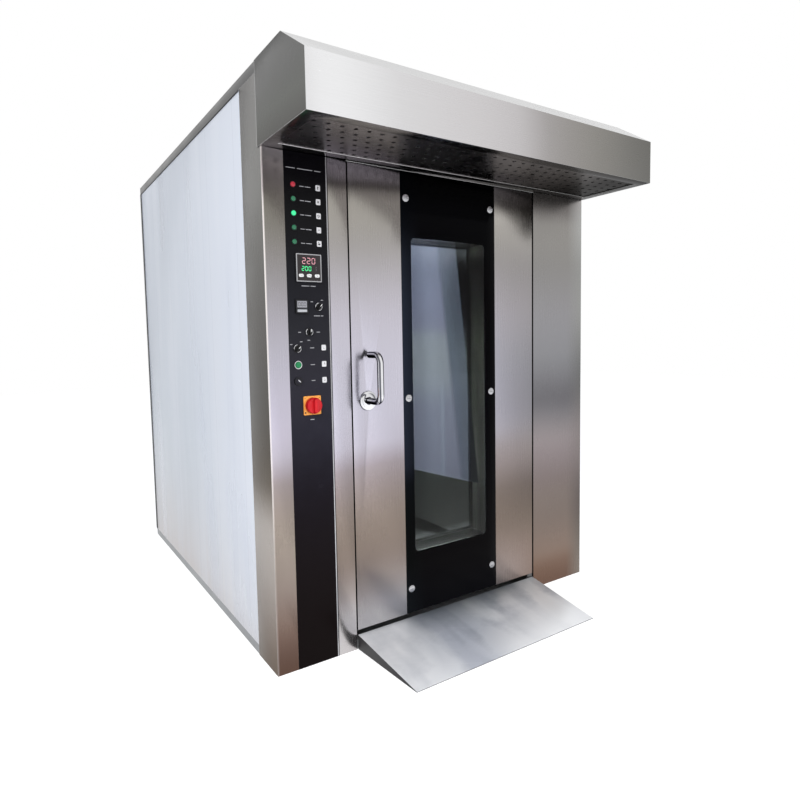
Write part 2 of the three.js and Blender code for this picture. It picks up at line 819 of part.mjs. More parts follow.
// A chrome bar bent into a D: its lower leg turns in the rose, its upper leg is free.
function doorHandle() {
  const top = handleZ + handleSpan;
  const path = bentPath([
    new THREE.Vector3(handleX, -2 * seatGap, handleZ),
    new THREE.Vector3(handleX, -handleReach, handleZ),
    new THREE.Vector3(handleX, -handleReach, top),
    new THREE.Vector3(handleX, -handleEndGap, top),
  ], handleBend);
  const spindle = depthBar(handleX, handleZ, -2, tongueDepth + tongueThickness + 2,
    spindleRadius, 20);
  return shape([tube(path, handleTube, 14, 24), spindle]);
}

// The latch tongue hangs beside the door's edge and swings out into the jamb.
function latchTongue() {
  const y1 = tongueDepth + tongueThickness;
  const blade = box(handleX - tongueWidth / 2, handleX + tongueWidth / 2,
    tongueDepth, y1, handleZ - tongueLength, handleZ);
  const hub = depthBar(handleX, handleZ, tongueDepth, y1, tongueHub, 24);
  const bore = depthBar(handleX, handleZ, tongueDepth - 1, y1 + 1,
    spindleRadius + seatGap, 20);
  return shape([blade, hub], [bore]);
}

// A block on the floor plate and a plate under the header, each with a pin.
function hingePin(atTop) {
  const x1 = doorwayRight - seatGap;
  const x0 = hingeX - hingePlateWidth / 2;
  const y0 = 2 * sheet;
  const y1 = y0 + hingePlateDepth;
  if (atTop) {
    const plate = box(x0, x1, y0, y1, frontHeight - hingePlateThickness, frontHeight);
    return shape([plate, postBar(hingeX, hingeDepth, doorTop - hingePinLength,
      frontHeight - 1, hingePinRadius)]);
  }
  const block = box(x0, x1, y0, y1, floorTop + seatGap, doorBottom - hingePlateThickness + 1);
  return shape([block, postBar(hingeX, hingeDepth, floorTop + 1,
    doorBottom + hingePinLength, hingePinRadius)]);
}

// ---- turning rack gear and fan ----

function turntable() {
  const z0 = floorTop - turntableThickness;
  return shape([postBar(doorwayMiddle, turnY, z0, floorTop, turntableRadius, 72)],
    [postBar(doorwayMiddle, turnY, z0 - 1, z0 + pivotHeight, pivotRadius + runningGap)]);
}

// The shaft from the gear box down to a crossbar with a hook at each end.
function rackCarrier() {
  const x0 = doorwayMiddle - carrierSpan / 2;
  const x1 = doorwayMiddle + carrierSpan / 2;
  const y0 = turnY - carrierBar / 2;
  const y1 = turnY + carrierBar / 2;
  const low = carrierTop - hookDrop;
  return shape([
    box(x0, x1, y0, y1, carrierTop - carrierBarThickness, carrierTop),
    box(x0, x0 + hookThickness, y0, y1, low, carrierTop - 1),
    box(x0, x0 + hookLength, y0, y1, low, low + hookThickness),
    box(x1 - hookThickness, x1, y0, y1, low, carrierTop - 1),
    box(x1 - hookLength, x1, y0, y1, low, low + hookThickness),
    postBar(doorwayMiddle, turnY, carrierTop - 1, deckTop + gearBoxHeight * 0.8,
      carrierShaftRadius),
  ]);
}

// A hollow-shaft gear box over the carrier, with its motor lying to the right.
function gearMotor() {
  const z0 = deckTop + seatGap;
  const half = gearBoxSize / 2;
  const axis = z0 + gearBoxHeight / 2;
  const gearBox = box(doorwayMiddle - half, doorwayMiddle + half, turnY - half, turnY + half,
    z0, z0 + gearBoxHeight);
  const foot = box(doorwayMiddle - half - gearFlange, doorwayMiddle + half + gearFlange,
    turnY - half - gearFlange, turnY + half + gearFlange, z0, z0 + 3 * sheet);
  const motor = crossBar(turnY, axis, doorwayMiddle + half - 1,
    doorwayMiddle + half + gearMotorLength, gearMotorRadius, 32);
  const socket = postBar(doorwayMiddle, turnY, z0 - 1,
    deckTop + gearBoxHeight * 0.8 + 2 * seatGap, carrierShaftRadius + runningGap);
  return shape([gearBox, foot, motor], [socket]);
}

function fanMotor() {
  const z0 = deckTop + seatGap;
  return shape([
    postBar(doorwayMiddle, fanY, z0, z0 + fanMotorHeight, fanMotorRadius, 32),
    postBar(doorwayMiddle, fanY, z0, z0 + 4 * sheet, fanMotorRadius + fanMotorFlange, 32),
  ], [
    postBar(doorwayMiddle, fanY, z0 - 1, z0 + fanMotorHeight / 3, fanShaftRadius + runningGap),
  ]);
}

// A shaft with two round plates and straight blades set between them.
function fanImpeller() {
  const z1 = ceilingUnder - fanDrop;
  const z0 = z1 - fanHeight;
  const blades = [];
  for (let i = 0; i < fanBlades; i += 1) {
    const blade = box(fanRadius * 0.55, fanRadius - 6, -sheet, sheet, z0 + 1, z1 - 1);
    blade.rotateZ(2 * Math.PI * i / fanBlades);
    blades.push(blade.translate(doorwayMiddle, fanY, 0));
  }
  const ring = shape([postBar(doorwayMiddle, fanY, z0, z0 + sheet, fanRadius, 32)],
    [postBar(doorwayMiddle, fanY, z0 - 1, z0 + sheet + 1, fanRadius * 0.6, 32)]);
  return shape([
    postBar(doorwayMiddle, fanY, z1 - sheet, z1, fanRadius, 32),
    ring,
    postBar(doorwayMiddle, fanY, z1 - 2, deckTop + fanMotorHeight / 3, fanShaftRadius),
    ...blades,
  ]);
}

// ---- flue and damper ----

function fluePipe() {
  const spindleBore = crossBar(flueY, bladeZ, flueX - 2 * flueRadius, flueX + 2 * flueRadius,
    bladeSpindle + runningGap, 12);
  return shape([postBar(flueX, flueY, chamberTop + seatGap, cabinetHeight, flueRadius, 32)], [
    postBar(flueX, flueY, chamberTop, cabinetHeight + 1, flueRadius - sheet, 32),
    spindleBore,
  ]);
}

// A round blade on a cross spindle, with a lever outside the pipe.
function damperBlade() {
  const half = bladeThickness / 2;
  const leverHalf = bladeLeverWidth / 2;
  const leverX = flueX + flueRadius + bladeLeverGap;
  return shape([
    postBar(flueX, flueY, bladeZ - half, bladeZ + half,
      flueRadius - sheet - bladeClearance, 32),
    crossBar(flueY, bladeZ, flueX - flueRadius - bladeLeverGap,
      leverX + bladeLeverThickness, bladeSpindle, 12),
    box(leverX, leverX + bladeLeverThickness, flueY - bladeLever, flueY + leverHalf,
      bladeZ - leverHalf, bladeZ + leverHalf),
  ]);
}

// ---- control column ----

const indicatorX = panelLeft + indicatorOffset;
const indicatorZs = Array.from({ length: indicatorCount },
  (_, i) => frontHeight - indicatorDrop - i * indicatorPitch);
const controllerX = panelLeft + controllerOffset;
const controllerZ = indicatorZs[indicatorCount - 1] - controllerDrop;
const timerX = panelLeft + timerOffset;
const timerZ = controllerZ - timerDrop;
const selectors = selectorOffsets.map((offset, i) => {
  const drop = i === 0 ? 0 : selectorDrop + (i - 1) * switchPitch;
  return [panelLeft + offset, timerZ - drop];
});
const lastSelectorZ = selectors[selectors.length - 1][1];
const buttonPlace = [panelLeft + buttonOffset, lastSelectorZ - switchPitch];
const buzzerPlace = [panelLeft + buzzerOffset, lastSelectorZ - 2 * switchPitch];
const isolatorX = panelLeft + isolatorOffset;
const isolatorZ = buzzerPlace[1] - isolatorDrop;

// A square block on the panel's face, from y0 to y1.
function square(x, z, width, height, y0, y1) {
  return box(x - width / 2, x + width / 2, y0, y1, z - height / 2, z + height / 2);
}

// The tall black panel, with the switches' round collars and the buzzer on its face.
function controlPanel() {
  const y0 = -switchRingReach - 1;
  const y1 = panelThickness + 1;
  const [buzzerX, buzzerZ] = buzzerPlace;
  return shape([
    box(panelLeft, panelRight, 0, panelThickness, 0, frontHeight),
    ...[...selectors, buttonPlace].map(([x, z]) => depthBar(x, z, -switchRingReach, 1,
      switchRingRadius, 20)),
    depthBar(buzzerX, buzzerZ, -buzzerReach, switchDepth, switchRingRadius, 24),
  ], [
    ...indicatorZs.map((z) => depthBar(indicatorX, z, y0, y1, lampHoleRadius, 16)),
    square(controllerX, controllerZ, controllerBody + 2 * seatGap,
      controllerBody + 2 * seatGap, y0, y1),
    square(timerX, timerZ, timerBody + 2 * seatGap, timerBody + 2 * seatGap, y0, y1),
    ...[...selectors, buttonPlace].map(([x, z]) => depthBar(x, z, y0, y1,
      switchHoleRadius, 20)),
    depthBar(isolatorX, isolatorZ, y0, y1, isolatorShaft + runningGap, 16),
  ]);
}

const keyXs = [-1, 0, 1].map((i) => controllerX + i * keyPitch);
const keyZ = controllerZ - keyDrop;

function temperatureController() {
  return shape([
    square(controllerX, controllerZ, controllerSize, controllerSize,
      -controllerReach, -seatGap),
    square(controllerX, controllerZ, controllerBody, controllerBody,
      -1, controllerDepth),
  ], keyXs.map((x) => square(x, keyZ, keyWidth + 2 * keyPlay, keyHeight + 2 * keyPlay,
    -controllerReach - 1, -controllerReach + keyThickness)));
}

function controllerKey(x) {
  const y0 = -controllerReach - keyProud;
  return square(x, keyZ, keyWidth, keyHeight, y0, y0 + keyThickness);
}

const timerKeyZ = timerZ - timerKeyDrop;

function timer() {
  return shape([
    square(timerX, timerZ, timerSize, timerSize, -timerReach, -seatGap),
    square(timerX, timerZ, timerBody, timerBody, -1, controllerDepth),
  ], [
    square(timerX, timerKeyZ, timerKeyWidth + 2 * keyPlay, timerKeyHeight + 2 * keyPlay,
      -timerReach - 1, -timerReach + timerKeyThickness),
  ]);
}

function timerKey() {
  const y0 = -timerReach - keyProud;
  return square(timerX, timerKeyZ, timerKeyWidth, timerKeyHeight, y0,
    y0 + timerKeyThickness);
}

// A signal lamp: a domed lens in its ring, with its body through the panel.
function indicator(z) {
  const profile = [
    [0, -lensReach],
    [lensRadius * 0.6, -lensReach * 0.85],
    [lensRadius, -lensReach * 0.55],
    [lensRadius, -switchRingReach * 0.8],
    [lampRingRadius, -switchRingReach * 0.6],
    [lampRingRadius, -seatGap],
    [lampHoleRadius - seatGap, -seatGap],
    [lampHoleRadius - seatGap, switchDepth / 2],
    [0, switchDepth / 2],
  ].map(([r, y]) => new THREE.Vector2(r, y));
  return new THREE.LatheGeometry(profile, 16).translate(indicatorX, 0, z);
}

function selector([x, z]) {
  const grip = box(x - selectorGrip / 2, x + selectorGrip / 2, -selectorReach,
    -switchRingReach, z - switchBodyRadius + 1, z + switchBodyRadius - 1);
  const body = depthBar(x, z, -selectorReach / 2, switchDepth, switchBodyRadius, 24);
  return shape([body, grip]);
}

function startButton() {
  const [x, z] = buttonPlace;
  return depthBar(x, z, -buttonReach, switchDepth, switchBodyRadius, 24);
}

function isolatorPlate() {
  return shape([
    square(isolatorX, isolatorZ, isolatorPlateWidth, isolatorPlateWidth,
      -isolatorPlateThickness - seatGap, -seatGap),
  ], [
    depthBar(isolatorX, isolatorZ, -isolatorPlateThickness - 1, 1,
      isolatorShaft + runningGap, 16),
  ]);
}

function isolatorKnob() {
  const y1 = -isolatorPlateThickness - 2 * seatGap;
  const y0 = y1 - isolatorBase;
  return shape([
    depthBar(isolatorX, isolatorZ, y0, y1, isolatorRadius, 36),
    square(isolatorX, isolatorZ, isolatorGripWidth, 1.9 * isolatorRadius,
      y0 - isolatorGrip, y0 + 1),
    depthBar(isolatorX, isolatorZ, y1 - 1, switchDepth, isolatorShaft, 16),
  ]);
}

// ---- ramp ----

function rampSlab(y0, y1, half0, half1, z0, z1, thickness) {
  const side = outline([[y0, z0], [y1, z1], [y1, z1 - thickness], [y0, z0 - thickness]]);
  const slab = extrude(side, 2 * half1);
  slab.applyMatrix4(new THREE.Matrix4().makeBasis(
    new THREE.Vector3(0, 1, 0), new THREE.Vector3(0, 0, 1), new THREE.Vector3(1, 0, 0)));
  slab.translate(-half1, 0, 0);
  const points = slab.attributes.position;
  for (let i = 0; i < points.count; i += 1) {
    const t = (points.getY(i) - y0) / (y1 - y0);
    const half = half0 + t * (half1 - half0);
    points.setX(i, points.getX(i) * half / half1);
  }
  return slab.translate(doorwayMiddle, 0, 0);
}

// A sloping plate with its side edges folded down to the floor.
function ramp() {
  const y0 = -rampLength;
  const y1 = -seatGap;
  const half1 = doorwayWidth / 2 - rampGap;
  const half0 = half1 - rampTaper;
  const plate = rampSlab(y0, y1, half0, half1, rampTip, rampRise, rampTip);
  const wedge = rampSlab(y0, y1, half0, half1, rampTip, rampRise, rampRise);
  const below = rampSlab(y0 - 1, y1 + 1, half0 - rampSheet, half1 - rampSheet,
    0, rampRise - rampTip, 2 * rampRise);
  const floorCut = box(left, right, y0 - 1, y1 + 1, -3 * rampRise, 0);
  const skirt = shape([wedge], [below, floorCut]);
  return shape([shape([plate], [floorCut]), skirt]);
}

// ---- the assembly ----

// Standing the oven on its footprint's middle moves everything forward.
const body = new THREE.Group();
body.position.y = (rampLength - cabinetDepth) / 2;
part.add(body);

const fixedParts = [
  ['base_frame', baseFrame, materials.darkSteel],
  ['floor_plate', floorPlate, materials.steel],
  ['insulation', lagging, materials.wool],
  ['side_panel_left', () => sideSkin(-1), materials.film],
  ['side_panel_right', () => sideSkin(1), materials.film],
  ['rear_panel', rearSkin, materials.galvanised],
  ['top_trim', topTrim, materials.steel],
  ['corner_post_left', cornerPost, materials.steel],
  ['column_right', rightColumn, materials.steel],
  ['jamb_strip_left', jambStrip, materials.steel],
  ['front_header', frontHeader, materials.steel],
  ['control_panel', controlPanel, materials.blackPanel],
  ['hood_shell', hoodShell, materials.steel],
  ['hood_soffit', hoodSoffit, materials.steel],
  ['chamber_liner', chamberLiner, materials.steel],
  ['duct_wall', ductWall, materials.steel],
  ['roof_deck', roofDeck, materials.galvanised],
  ['heating_elements', heaters, materials.darkSteel],
  ['fan_motor', fanMotor, materials.motorPaint],
  ['gear_motor', gearMotor, materials.motorPaint],
  ['flue_pipe', fluePipe, materials.galvanised],
  ['temperature_controller', temperatureController, materials.greyPlastic],
  ['timer', timer, materials.greyPlastic],
  ['isolator_plate', isolatorPlate, materials.yellowPlate],
  ['hinge_pin_top', () => hingePin(true), materials.darkSteel],
  ['hinge_pin_bottom', () => hingePin(false), materials.darkSteel],
];

const doorParts = [
  ['door_outer_skin', doorOuterSkin, materials.steel],
  ['door_inner_skin', doorInnerSkin, materials.steel],
  ['door_insulation', doorWool, materials.wool],
  ['glass_outer', outerGlass, materials.glass],
  ['glass_inner', innerGlass, materials.glass],
  ['door_gasket', doorGasket, materials.rubber],
  ['handle_rose', handleRose, materials.chrome],
  ['door_handle', doorHandle, materials.chrome],
  ['latch_tongue', latchTongue, materials.darkSteel],
];

const movingParts = [
  ['fan_impeller', fanImpeller, materials.steel],
  ['rack_carrier', rackCarrier, materials.darkSteel],
  ['turntable', turntable, materials.steel],
  ['ramp', ramp, materials.steel],
  ['start_button', startButton, materials.greenButton],
  ['isolator_knob', isolatorKnob, materials.redKnob],
  ['damper_blade', damperBlade, materials.galvanised],
  ['timer_key', timerKey, materials.whitePlastic],
];

for (const [name, build, material] of [...fixedParts, ...doorParts, ...movingParts]) {
  add(name, build(), material, body);
}
indicatorZs.forEach((z, i) => {
  add(`indicator_${i + 1}`, indicator(z), i === 0 ? materials.redLens : materials.greenLens, body);
});
screwPlaces.forEach((place, i) => {
  add(`glass_screw_${i + 1}`, glassScrew(place), materials.chrome, body);
});
selectors.forEach((place, i) => {
  add(`selector_${i + 1}`, selector(place), materials.blackPlastic, body);
});
keyXs.forEach((x, i) => {
  add(`controller_key_${i + 1}`, controllerKey(x), materials.whitePlastic, body);
});

export default part;
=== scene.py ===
import json
import math
import bpy
import bmesh
import numpy as np
from mathutils import Matrix, Vector


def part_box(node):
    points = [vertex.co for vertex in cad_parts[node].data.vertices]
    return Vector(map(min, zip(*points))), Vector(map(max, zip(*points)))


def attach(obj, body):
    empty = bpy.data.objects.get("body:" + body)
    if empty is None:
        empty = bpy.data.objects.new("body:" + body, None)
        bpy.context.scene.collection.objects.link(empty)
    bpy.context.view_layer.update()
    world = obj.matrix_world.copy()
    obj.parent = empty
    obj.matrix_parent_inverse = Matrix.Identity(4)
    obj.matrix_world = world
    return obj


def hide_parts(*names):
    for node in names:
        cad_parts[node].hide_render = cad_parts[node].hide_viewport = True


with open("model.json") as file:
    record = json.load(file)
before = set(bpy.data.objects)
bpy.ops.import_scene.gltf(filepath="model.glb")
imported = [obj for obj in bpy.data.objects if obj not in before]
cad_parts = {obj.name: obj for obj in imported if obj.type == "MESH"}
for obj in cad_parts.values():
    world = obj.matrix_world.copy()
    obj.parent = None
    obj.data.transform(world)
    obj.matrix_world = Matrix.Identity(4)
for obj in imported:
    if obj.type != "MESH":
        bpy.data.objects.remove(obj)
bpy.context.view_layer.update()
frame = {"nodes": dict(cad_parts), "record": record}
nodes = frame["nodes"]
bodyOfNode = {n: b for b, names in frame["record"]["behaviour"]["bodies"].items() for n in names}
print("oven frame loaded:", len(nodes), "nodes")

mm = 0.001  # the oven's sizes below are in millimetres
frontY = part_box("door_outer_skin")[0][1]  # the cabinet's front face, in the frame
finish = {}  # every material by its name


def framed(places):
    # From millimetres off the cabinet's front face to metres in the frame.
    return np.asarray(places, float) * mm + (0, frontY, 0)


def linear(code):
    # A written colour such as #C4BFCA as the linear values that a shader takes.
    parts = [int(code[i:i + 2], 16) / 255 for i in (1, 3, 5)]
    return tuple(p / 12.92 if p <= 0.04045 else ((p + 0.055) / 1.055) ** 2.4 for p in parts) + (1,)


class Paint:
    # Draws in one shader tree: each method adds a node and gives what comes out of it.

    def __init__(self, tree):
        self.tree = tree

    def plug(self, sockets, values):
        # Links an output to each named socket, or sets a number, a vector or a colour.
        for key, value in values.items():
            if hasattr(value, "is_output"):
                self.tree.links.new(value, sockets[key])
            else:
                sockets[key].default_value = linear(value) if isinstance(value, str) else value

    def node(self, kind, values=(), **settings):
        # A node of a kind, its settings, and its inputs by name or in order.
        made = self.tree.nodes.new("ShaderNode" + kind)
        for key, value in settings.items():
            setattr(made, key, value)
        self.plug(made.inputs, values if isinstance(values, dict) else dict(enumerate(values)))
        return made

    def math(self, operation, *values, clamp=False):
        return self.node("Math", values, operation=operation, use_clamp=clamp).outputs[0]

    def plus(self, a, b, clamp=False):
        return self.math("ADD", a, b, clamp=clamp)

    def times(self, a, b):
        return self.math("MULTIPLY", a, b)

    def stretch(self, vector, by):
        # Each axis multiplied, so that noise runs out into streaks.
        return self.node("VectorMath", (vector, by), operation="MULTIPLY").outputs[0]

    def noise(self, vector, scale, detail, rough, by=None):
        # A noise at a place, which may first be stretched.
        vector = self.stretch(vector, by) if by else vector
        return self.node("TexNoise", {"Vector": vector, "Scale": scale, "Detail": detail,
                                      "Roughness": rough}).outputs["Fac"]

    def span(self, value, low, high, newLow=0, newHigh=1):
        # A value from low to high taken straight to the new range, and held at its ends.
        return self.node("MapRange", {"Value": value, "From Min": low, "From Max": high,
                                      "To Min": newLow, "To Max": newHigh}).outputs["Result"]

    def swing(self, noise, low, high):
        # A noise's usual range, 0.3 to 0.7, drawn out from low to high.
        return self.span(noise, 0.3, 0.7, low, high)

    def mix(self, amount, first, second, blend="MIX"):
        # From the first colour at an amount of 0 to the second at 1.
        made = self.node("Mix", data_type="RGBA", blend_type=blend)
        self.plug({s.name: s for s in made.inputs if s.enabled},
                  {"Factor": amount, "A": first, "B": second})
        return next(s for s in made.outputs if s.enabled)

    def ramp(self, value, stops, low=0, high=1):
        # Bands of tone along a value from 0 to 1; a stop is a place from low to high and a colour.
        made = self.node("ValToRGB", (value,))
        ramp = made.color_ramp
        ramp.interpolation = "B_SPLINE" if len(stops) > 5 else "LINEAR"
        while len(ramp.elements) < len(stops):
            ramp.elements.new(1.0)
        for element, (place, code) in zip(ramp.elements, stops):
            element.position = (place - low) / (high - low)
            element.color = linear(code)
        return made.outputs["Color"]

    def split(self, vector):
        return self.node("SeparateXYZ", (vector,)).outputs

    def axis(self, axis, low, high):
        # How far the place lies from low to high millimetres along an axis, as 0 to 1.
        start = frontY if axis == "Y" else 0
        return self.span(self.split(self.place)[axis], start + low * mm, start + high * mm)

    def normal(self):
        return self.node("TexCoord").outputs["Normal"]

    def facing(self):
        # How squarely a face looks along each axis, as three values from 0 to 1.
        flat = self.node("VectorMath", (self.normal(),), operation="ABSOLUTE")
        return self.split(flat.outputs[0])

    def group(self, tree, **values):
        # One of the shared effects, with its inputs by name.
        values = {key.replace("_", " "): value for key, value in values.items()}
        return self.node("Group", {"Place": self.place, **values}, node_tree=tree).outputs

    def bump(self, height, strength, distance):
        # Tilts the surface as if it rose by the height times the distance.
        made = self.node("Bump", {"Height": height, "Strength": strength, "Distance": distance})
        self.plug(self.shader, {"Normal": made.outputs[0]})


def newMaterial(name):
    # A new finish, and the paint that draws in it.
    finish[name] = bpy.data.materials.new(name)
    finish[name].use_nodes = True
    paint = Paint(finish[name].node_tree)
    paint.shader = paint.tree.nodes["Principled BSDF"].inputs
    paint.place = paint.node("TexCoord").outputs["Object"]
    return paint


# camera, light and floor

cameraUser = {
    "place": (-1550.4, -1899.3, 1175.9),  # mm, from the cabinet's front face
    "turn": 33.363,  # degrees to the right of straight ahead
    "tilt": -4.336,
    "roll": -1.069,
    "lens": 26.692,  # mm on a frame of the width below
    "width": 36,
    "shift": (0.01016, -0.02003),
    "far": 60,  # metres
}


def setCamera(user):
    # The way ahead comes from the turn and the tilt; the roll leans the picture about it.
    turn, tilt, roll = (math.radians(user[k]) for k in ("turn", "tilt", "roll"))
    ahead = Vector((math.sin(turn) * math.cos(tilt), math.cos(turn) * math.cos(tilt), math.sin(tilt)))
    level = ahead.cross(Vector((0, 0, 1))).normalized()
    upright = level.cross(ahead)
    side = level * math.cos(roll) + upright * math.sin(roll)
    above = upright * math.cos(roll) - level * math.sin(roll)
    data = bpy.data.cameras.new("shopCamera")
    data.sensor_width = user["width"]
    data.lens = user["lens"]
    data.shift_x, data.shift_y = user["shift"]
    data.clip_end = user["far"]
    camera = bpy.data.objects.new("shopCamera", data)
    turned = Matrix((side, above, -ahead)).transposed().to_4x4()
    camera.matrix_world = Matrix.Translation(framed(user["place"])) @ turned
    bpy.context.scene.collection.objects.link(camera)
    bpy.context.scene.camera = camera


studioUser = {
    "skyForMatter": (0.80, 0.83, 0.88, 1),
    "skyStrength": 0.62,
    "floorTone": (0.55, 0.55, 0.55, 1),
    "floorGlow": 0.76,
    "floorReach": 14.0,  # metres
    "lamps": [  # name, place mm, aim mm, width m, height m, watts
        ("windowLamp", (-3600, -3200, 3400), (-300, 600, 900), 3.2, 2.6, 110),
        ("doorLamp", (1900, -4200, 2600), (100, 200, 1100), 2.6, 2.2, 30),
        ("backLamp", (-2200, 4800, 3600), (0, 1200, 1200), 3.0, 2.0, 40),
        ("rampLamp", (-200, -1500, 1000), (0, -190, 30), 0.9, 0.5, 11),
        ("chamberLamp", (-520, 300, 1050), (350, 1000, 950), 0.3, 1.5, 54),
    ],
}


def clearedPaint(owner):
    # The paint of a world or material whose tree starts empty.
    owner.use_nodes = True
    owner.node_tree.nodes.clear()
    return Paint(owner.node_tree)


def seenRays(paint):
    # 1 for camera, mirror and see-through rays, 0 for the light that falls on matter.
    path = paint.node("LightPath").outputs
    first = paint.math("MAXIMUM", path["Is Camera Ray"], path["Is Glossy Ray"])
    return paint.math("MAXIMUM", first, path["Is Transmission Ray"])


def setStudio(user):
    # A white room for the eye, a softer sky for the light on matter, and broad lamps.
    world = bpy.data.worlds.new("studioSky")
    bpy.context.scene.world = world
    paint = clearedPaint(world)
    lit, seen = (paint.node("Background", {"Color": colour, "Strength": strength}).outputs[0]
                 for colour, strength in ((user["skyForMatter"], user["skyStrength"]), ("#FFFFFF", 1)))
    mixed = paint.node("MixShader", (seenRays(paint), lit, seen))
    paint.node("OutputWorld", mixed.outputs[:])
    for name, place, aim, width, height, watts in user["lamps"]:
        data = bpy.data.lights.new(name, "AREA")
        data.shape = "RECTANGLE"
        data.size, data.size_y = width, height
        data.energy = watts
        lamp = bpy.data.objects.new(name, data)
        lamp.location = framed(place)
        lamp.rotation_euler = Vector(framed(aim) - framed(place)).to_track_quat("-Z", "Y").to_euler()
        lamp.visible_glossy = False  # metal mirrors the pale sky alone
        bpy.context.scene.collection.objects.link(lamp)


def setFloor(user):
    # A pale floor that takes shadows and glows up to the white of the room.
    mesh = bpy.data.meshes.new("paleFloor")
    corners = [(x * user["floorReach"], y * user["floorReach"], 0) for x, y in
               ((-1, -1), (1, -1), (1, 1), (-1, 1))]
    mesh.from_pydata(corners, [], [(0, 1, 2, 3)])
    floor = bpy.data.objects.new("paleFloor", mesh)
    bpy.context.scene.collection.objects.link(floor)
    material = bpy.data.materials.new("paleFloor")
    paint = clearedPaint(material)
    matt = paint.node("BsdfDiffuse", {"Color": user["floorTone"]})
    glow = paint.node("Emission", {"Strength": paint.times(seenRays(paint), user["floorGlow"])})
    both = paint.node("AddShader", (matt.outputs[0], glow.outputs[0]))
    paint.node("OutputMaterial", both.outputs[:])
    mesh.materials.append(material)


bpy.context.scene.view_settings.view_transform = "Standard"
setCamera(cameraUser)
setStudio(studioUser)
setFloor(studioUser)
print("camera, light and floor set")

# shared shader effects


def newGroup(name, inputs, outputs):
    # An effect that takes a place and named values, and gives plain values.
    tree = bpy.data.node_groups.new(name, "ShaderNodeTree")
    for key, value in {"Place": (0, 0, 0), **inputs}.items():
        kind = "NodeSocketVector" if isinstance(value, tuple) else "NodeSocketFloat"
        tree.interface.new_socket(name=key, in_out="INPUT", socket_type=kind).default_value = value
    for key in outputs:
        tree.interface.new_socket(name=key, in_out="OUTPUT", socket_type="NodeSocketFloat")
    return Paint(tree), tree.nodes.new("NodeGroupInput").outputs, tree.nodes.new("NodeGroupOutput").inputs


def makeBrushGroup():
    # Brush marks: fine lines and broad soft bands drawn out along one axis, and round smudges.
    stretches = {"Fine Stretch": (900, 900, 4), "Broad Stretch": (16, 16, 0.3)}
    paint, given, made = newGroup("brushMarks", stretches, ("Fine", "Broad", "Smudge"))
    place = given["Place"]
    paint.plug(made, {"Fine": paint.noise(place, 1, 3, 0.6, given["Fine Stretch"]),
                      "Broad": paint.noise(place, 1, 1, 0.4, given["Broad Stretch"]),
                      "Smudge": paint.noise(place, 5, 3, 0.55)})
    return paint.tree


filmNoises = {  # detail, roughness and how each axis is stretched
    "cloud": (2, 0.5, (2, 2.2, 1.0)), "strips": (2, 0.5, (1, 5, 0.6)), "long": (1, 0.3, (0, 9, 0.03)),
    "patch": (1, 0.4, (1, 3.4, 1.9)), "ripple": (1, 0.4, (4, 6, 75)),
}
creaseNoise = (0.552, 0.557, 0.564)  # a crease lies where the long noise passes these values
seamWave, seamHalf = 0.02, 0.006  # a seam's waver in metres, and its half width as a share of a strip


def makeFilmGroup():
    # Protective film: milky clouds and strips, long upright creases where a drawn-out noise
    # passes one value, level ripples in patches, and the wavering seams of the film's strips.
    paint, given, made = newGroup("filmCreases", {"Seam Spacing": 0.34}, ("Height", "Milk", "Seam", "Crease"))
    place = given["Place"]
    noise = {key: paint.noise(place, 1, *shape) for key, shape in filmNoises.items()}
    start, peak, end = creaseNoise
    onLine = paint.times(paint.span(noise["long"], start, peak), paint.span(noise["long"], end, peak))
    crease = paint.times(onLine, paint.span(noise["patch"], 0.42, 0.55, 0.1, 1))
    rippled = paint.times(noise["ripple"], paint.span(noise["patch"], 0.5, 0.62))
    bent = paint.plus(paint.split(place)["Y"], paint.times(noise["cloud"], seamWave))
    part = paint.math("FRACT", paint.math("DIVIDE", bent, given["Seam Spacing"]))
    near = paint.math("ABSOLUTE", paint.math("SUBTRACT", part, 0.5))
    seam = paint.span(near, 0, seamHalf, 1, 0)
    low = paint.plus(paint.times(rippled, 0.5), paint.times(seam, 0.6))
    milk = paint.plus(paint.times(noise["strips"], 0.6), paint.times(noise["cloud"], 0.4))
    paint.plug(made, {"Height": paint.plus(paint.times(crease, 0.5), low), "Seam": seam, "Crease": crease,
                      "Milk": milk})
    return paint.tree


def makeScratchGroup():
    # Scratches: the thin peaks of two strongly drawn-out noises, turned either way.
    paint, given, made = newGroup("scratches", {"Turn": 0.35}, ("Lines", "Cloud"))
    lines = []
    for sign, along, across in ((1, 2.0, 130), (-1, 3.0, 190)):
        angle = paint.times(given["Turn"], sign)
        turned = paint.node("VectorRotate", {"Vector": given["Place"], "Angle": angle},
                            rotation_type="Z_AXIS")
        drawn = paint.noise(turned.outputs[0], 1, 2, 0.5, (along, across, 10))
        lines.append(paint.span(drawn, 0.66, 0.72))
    cloud = paint.noise(given["Place"], 7, 4, 0.6)
    paint.plug(made, {"Lines": paint.math("MAXIMUM", *lines), "Cloud": cloud})
    return paint.tree


def makeMouldGroup():
    # Moulded or cast skin: a fine grain, and clouds of dust.
    paint, given, made = newGroup("mouldedSkin", {"Grain": 900.0}, ("Height", "Dust"))
    paint.plug(made, {"Height": paint.noise(given["Place"], given["Grain"], 2, 0.5),
                      "Dust": paint.noise(given["Place"], 14, 4, 0.6)})
    return paint.tree


brushGroup = makeBrushGroup()
filmGroup = makeFilmGroup()
scratchGroup = makeScratchGroup()
mouldGroup = makeMouldGroup()

# brushed metals

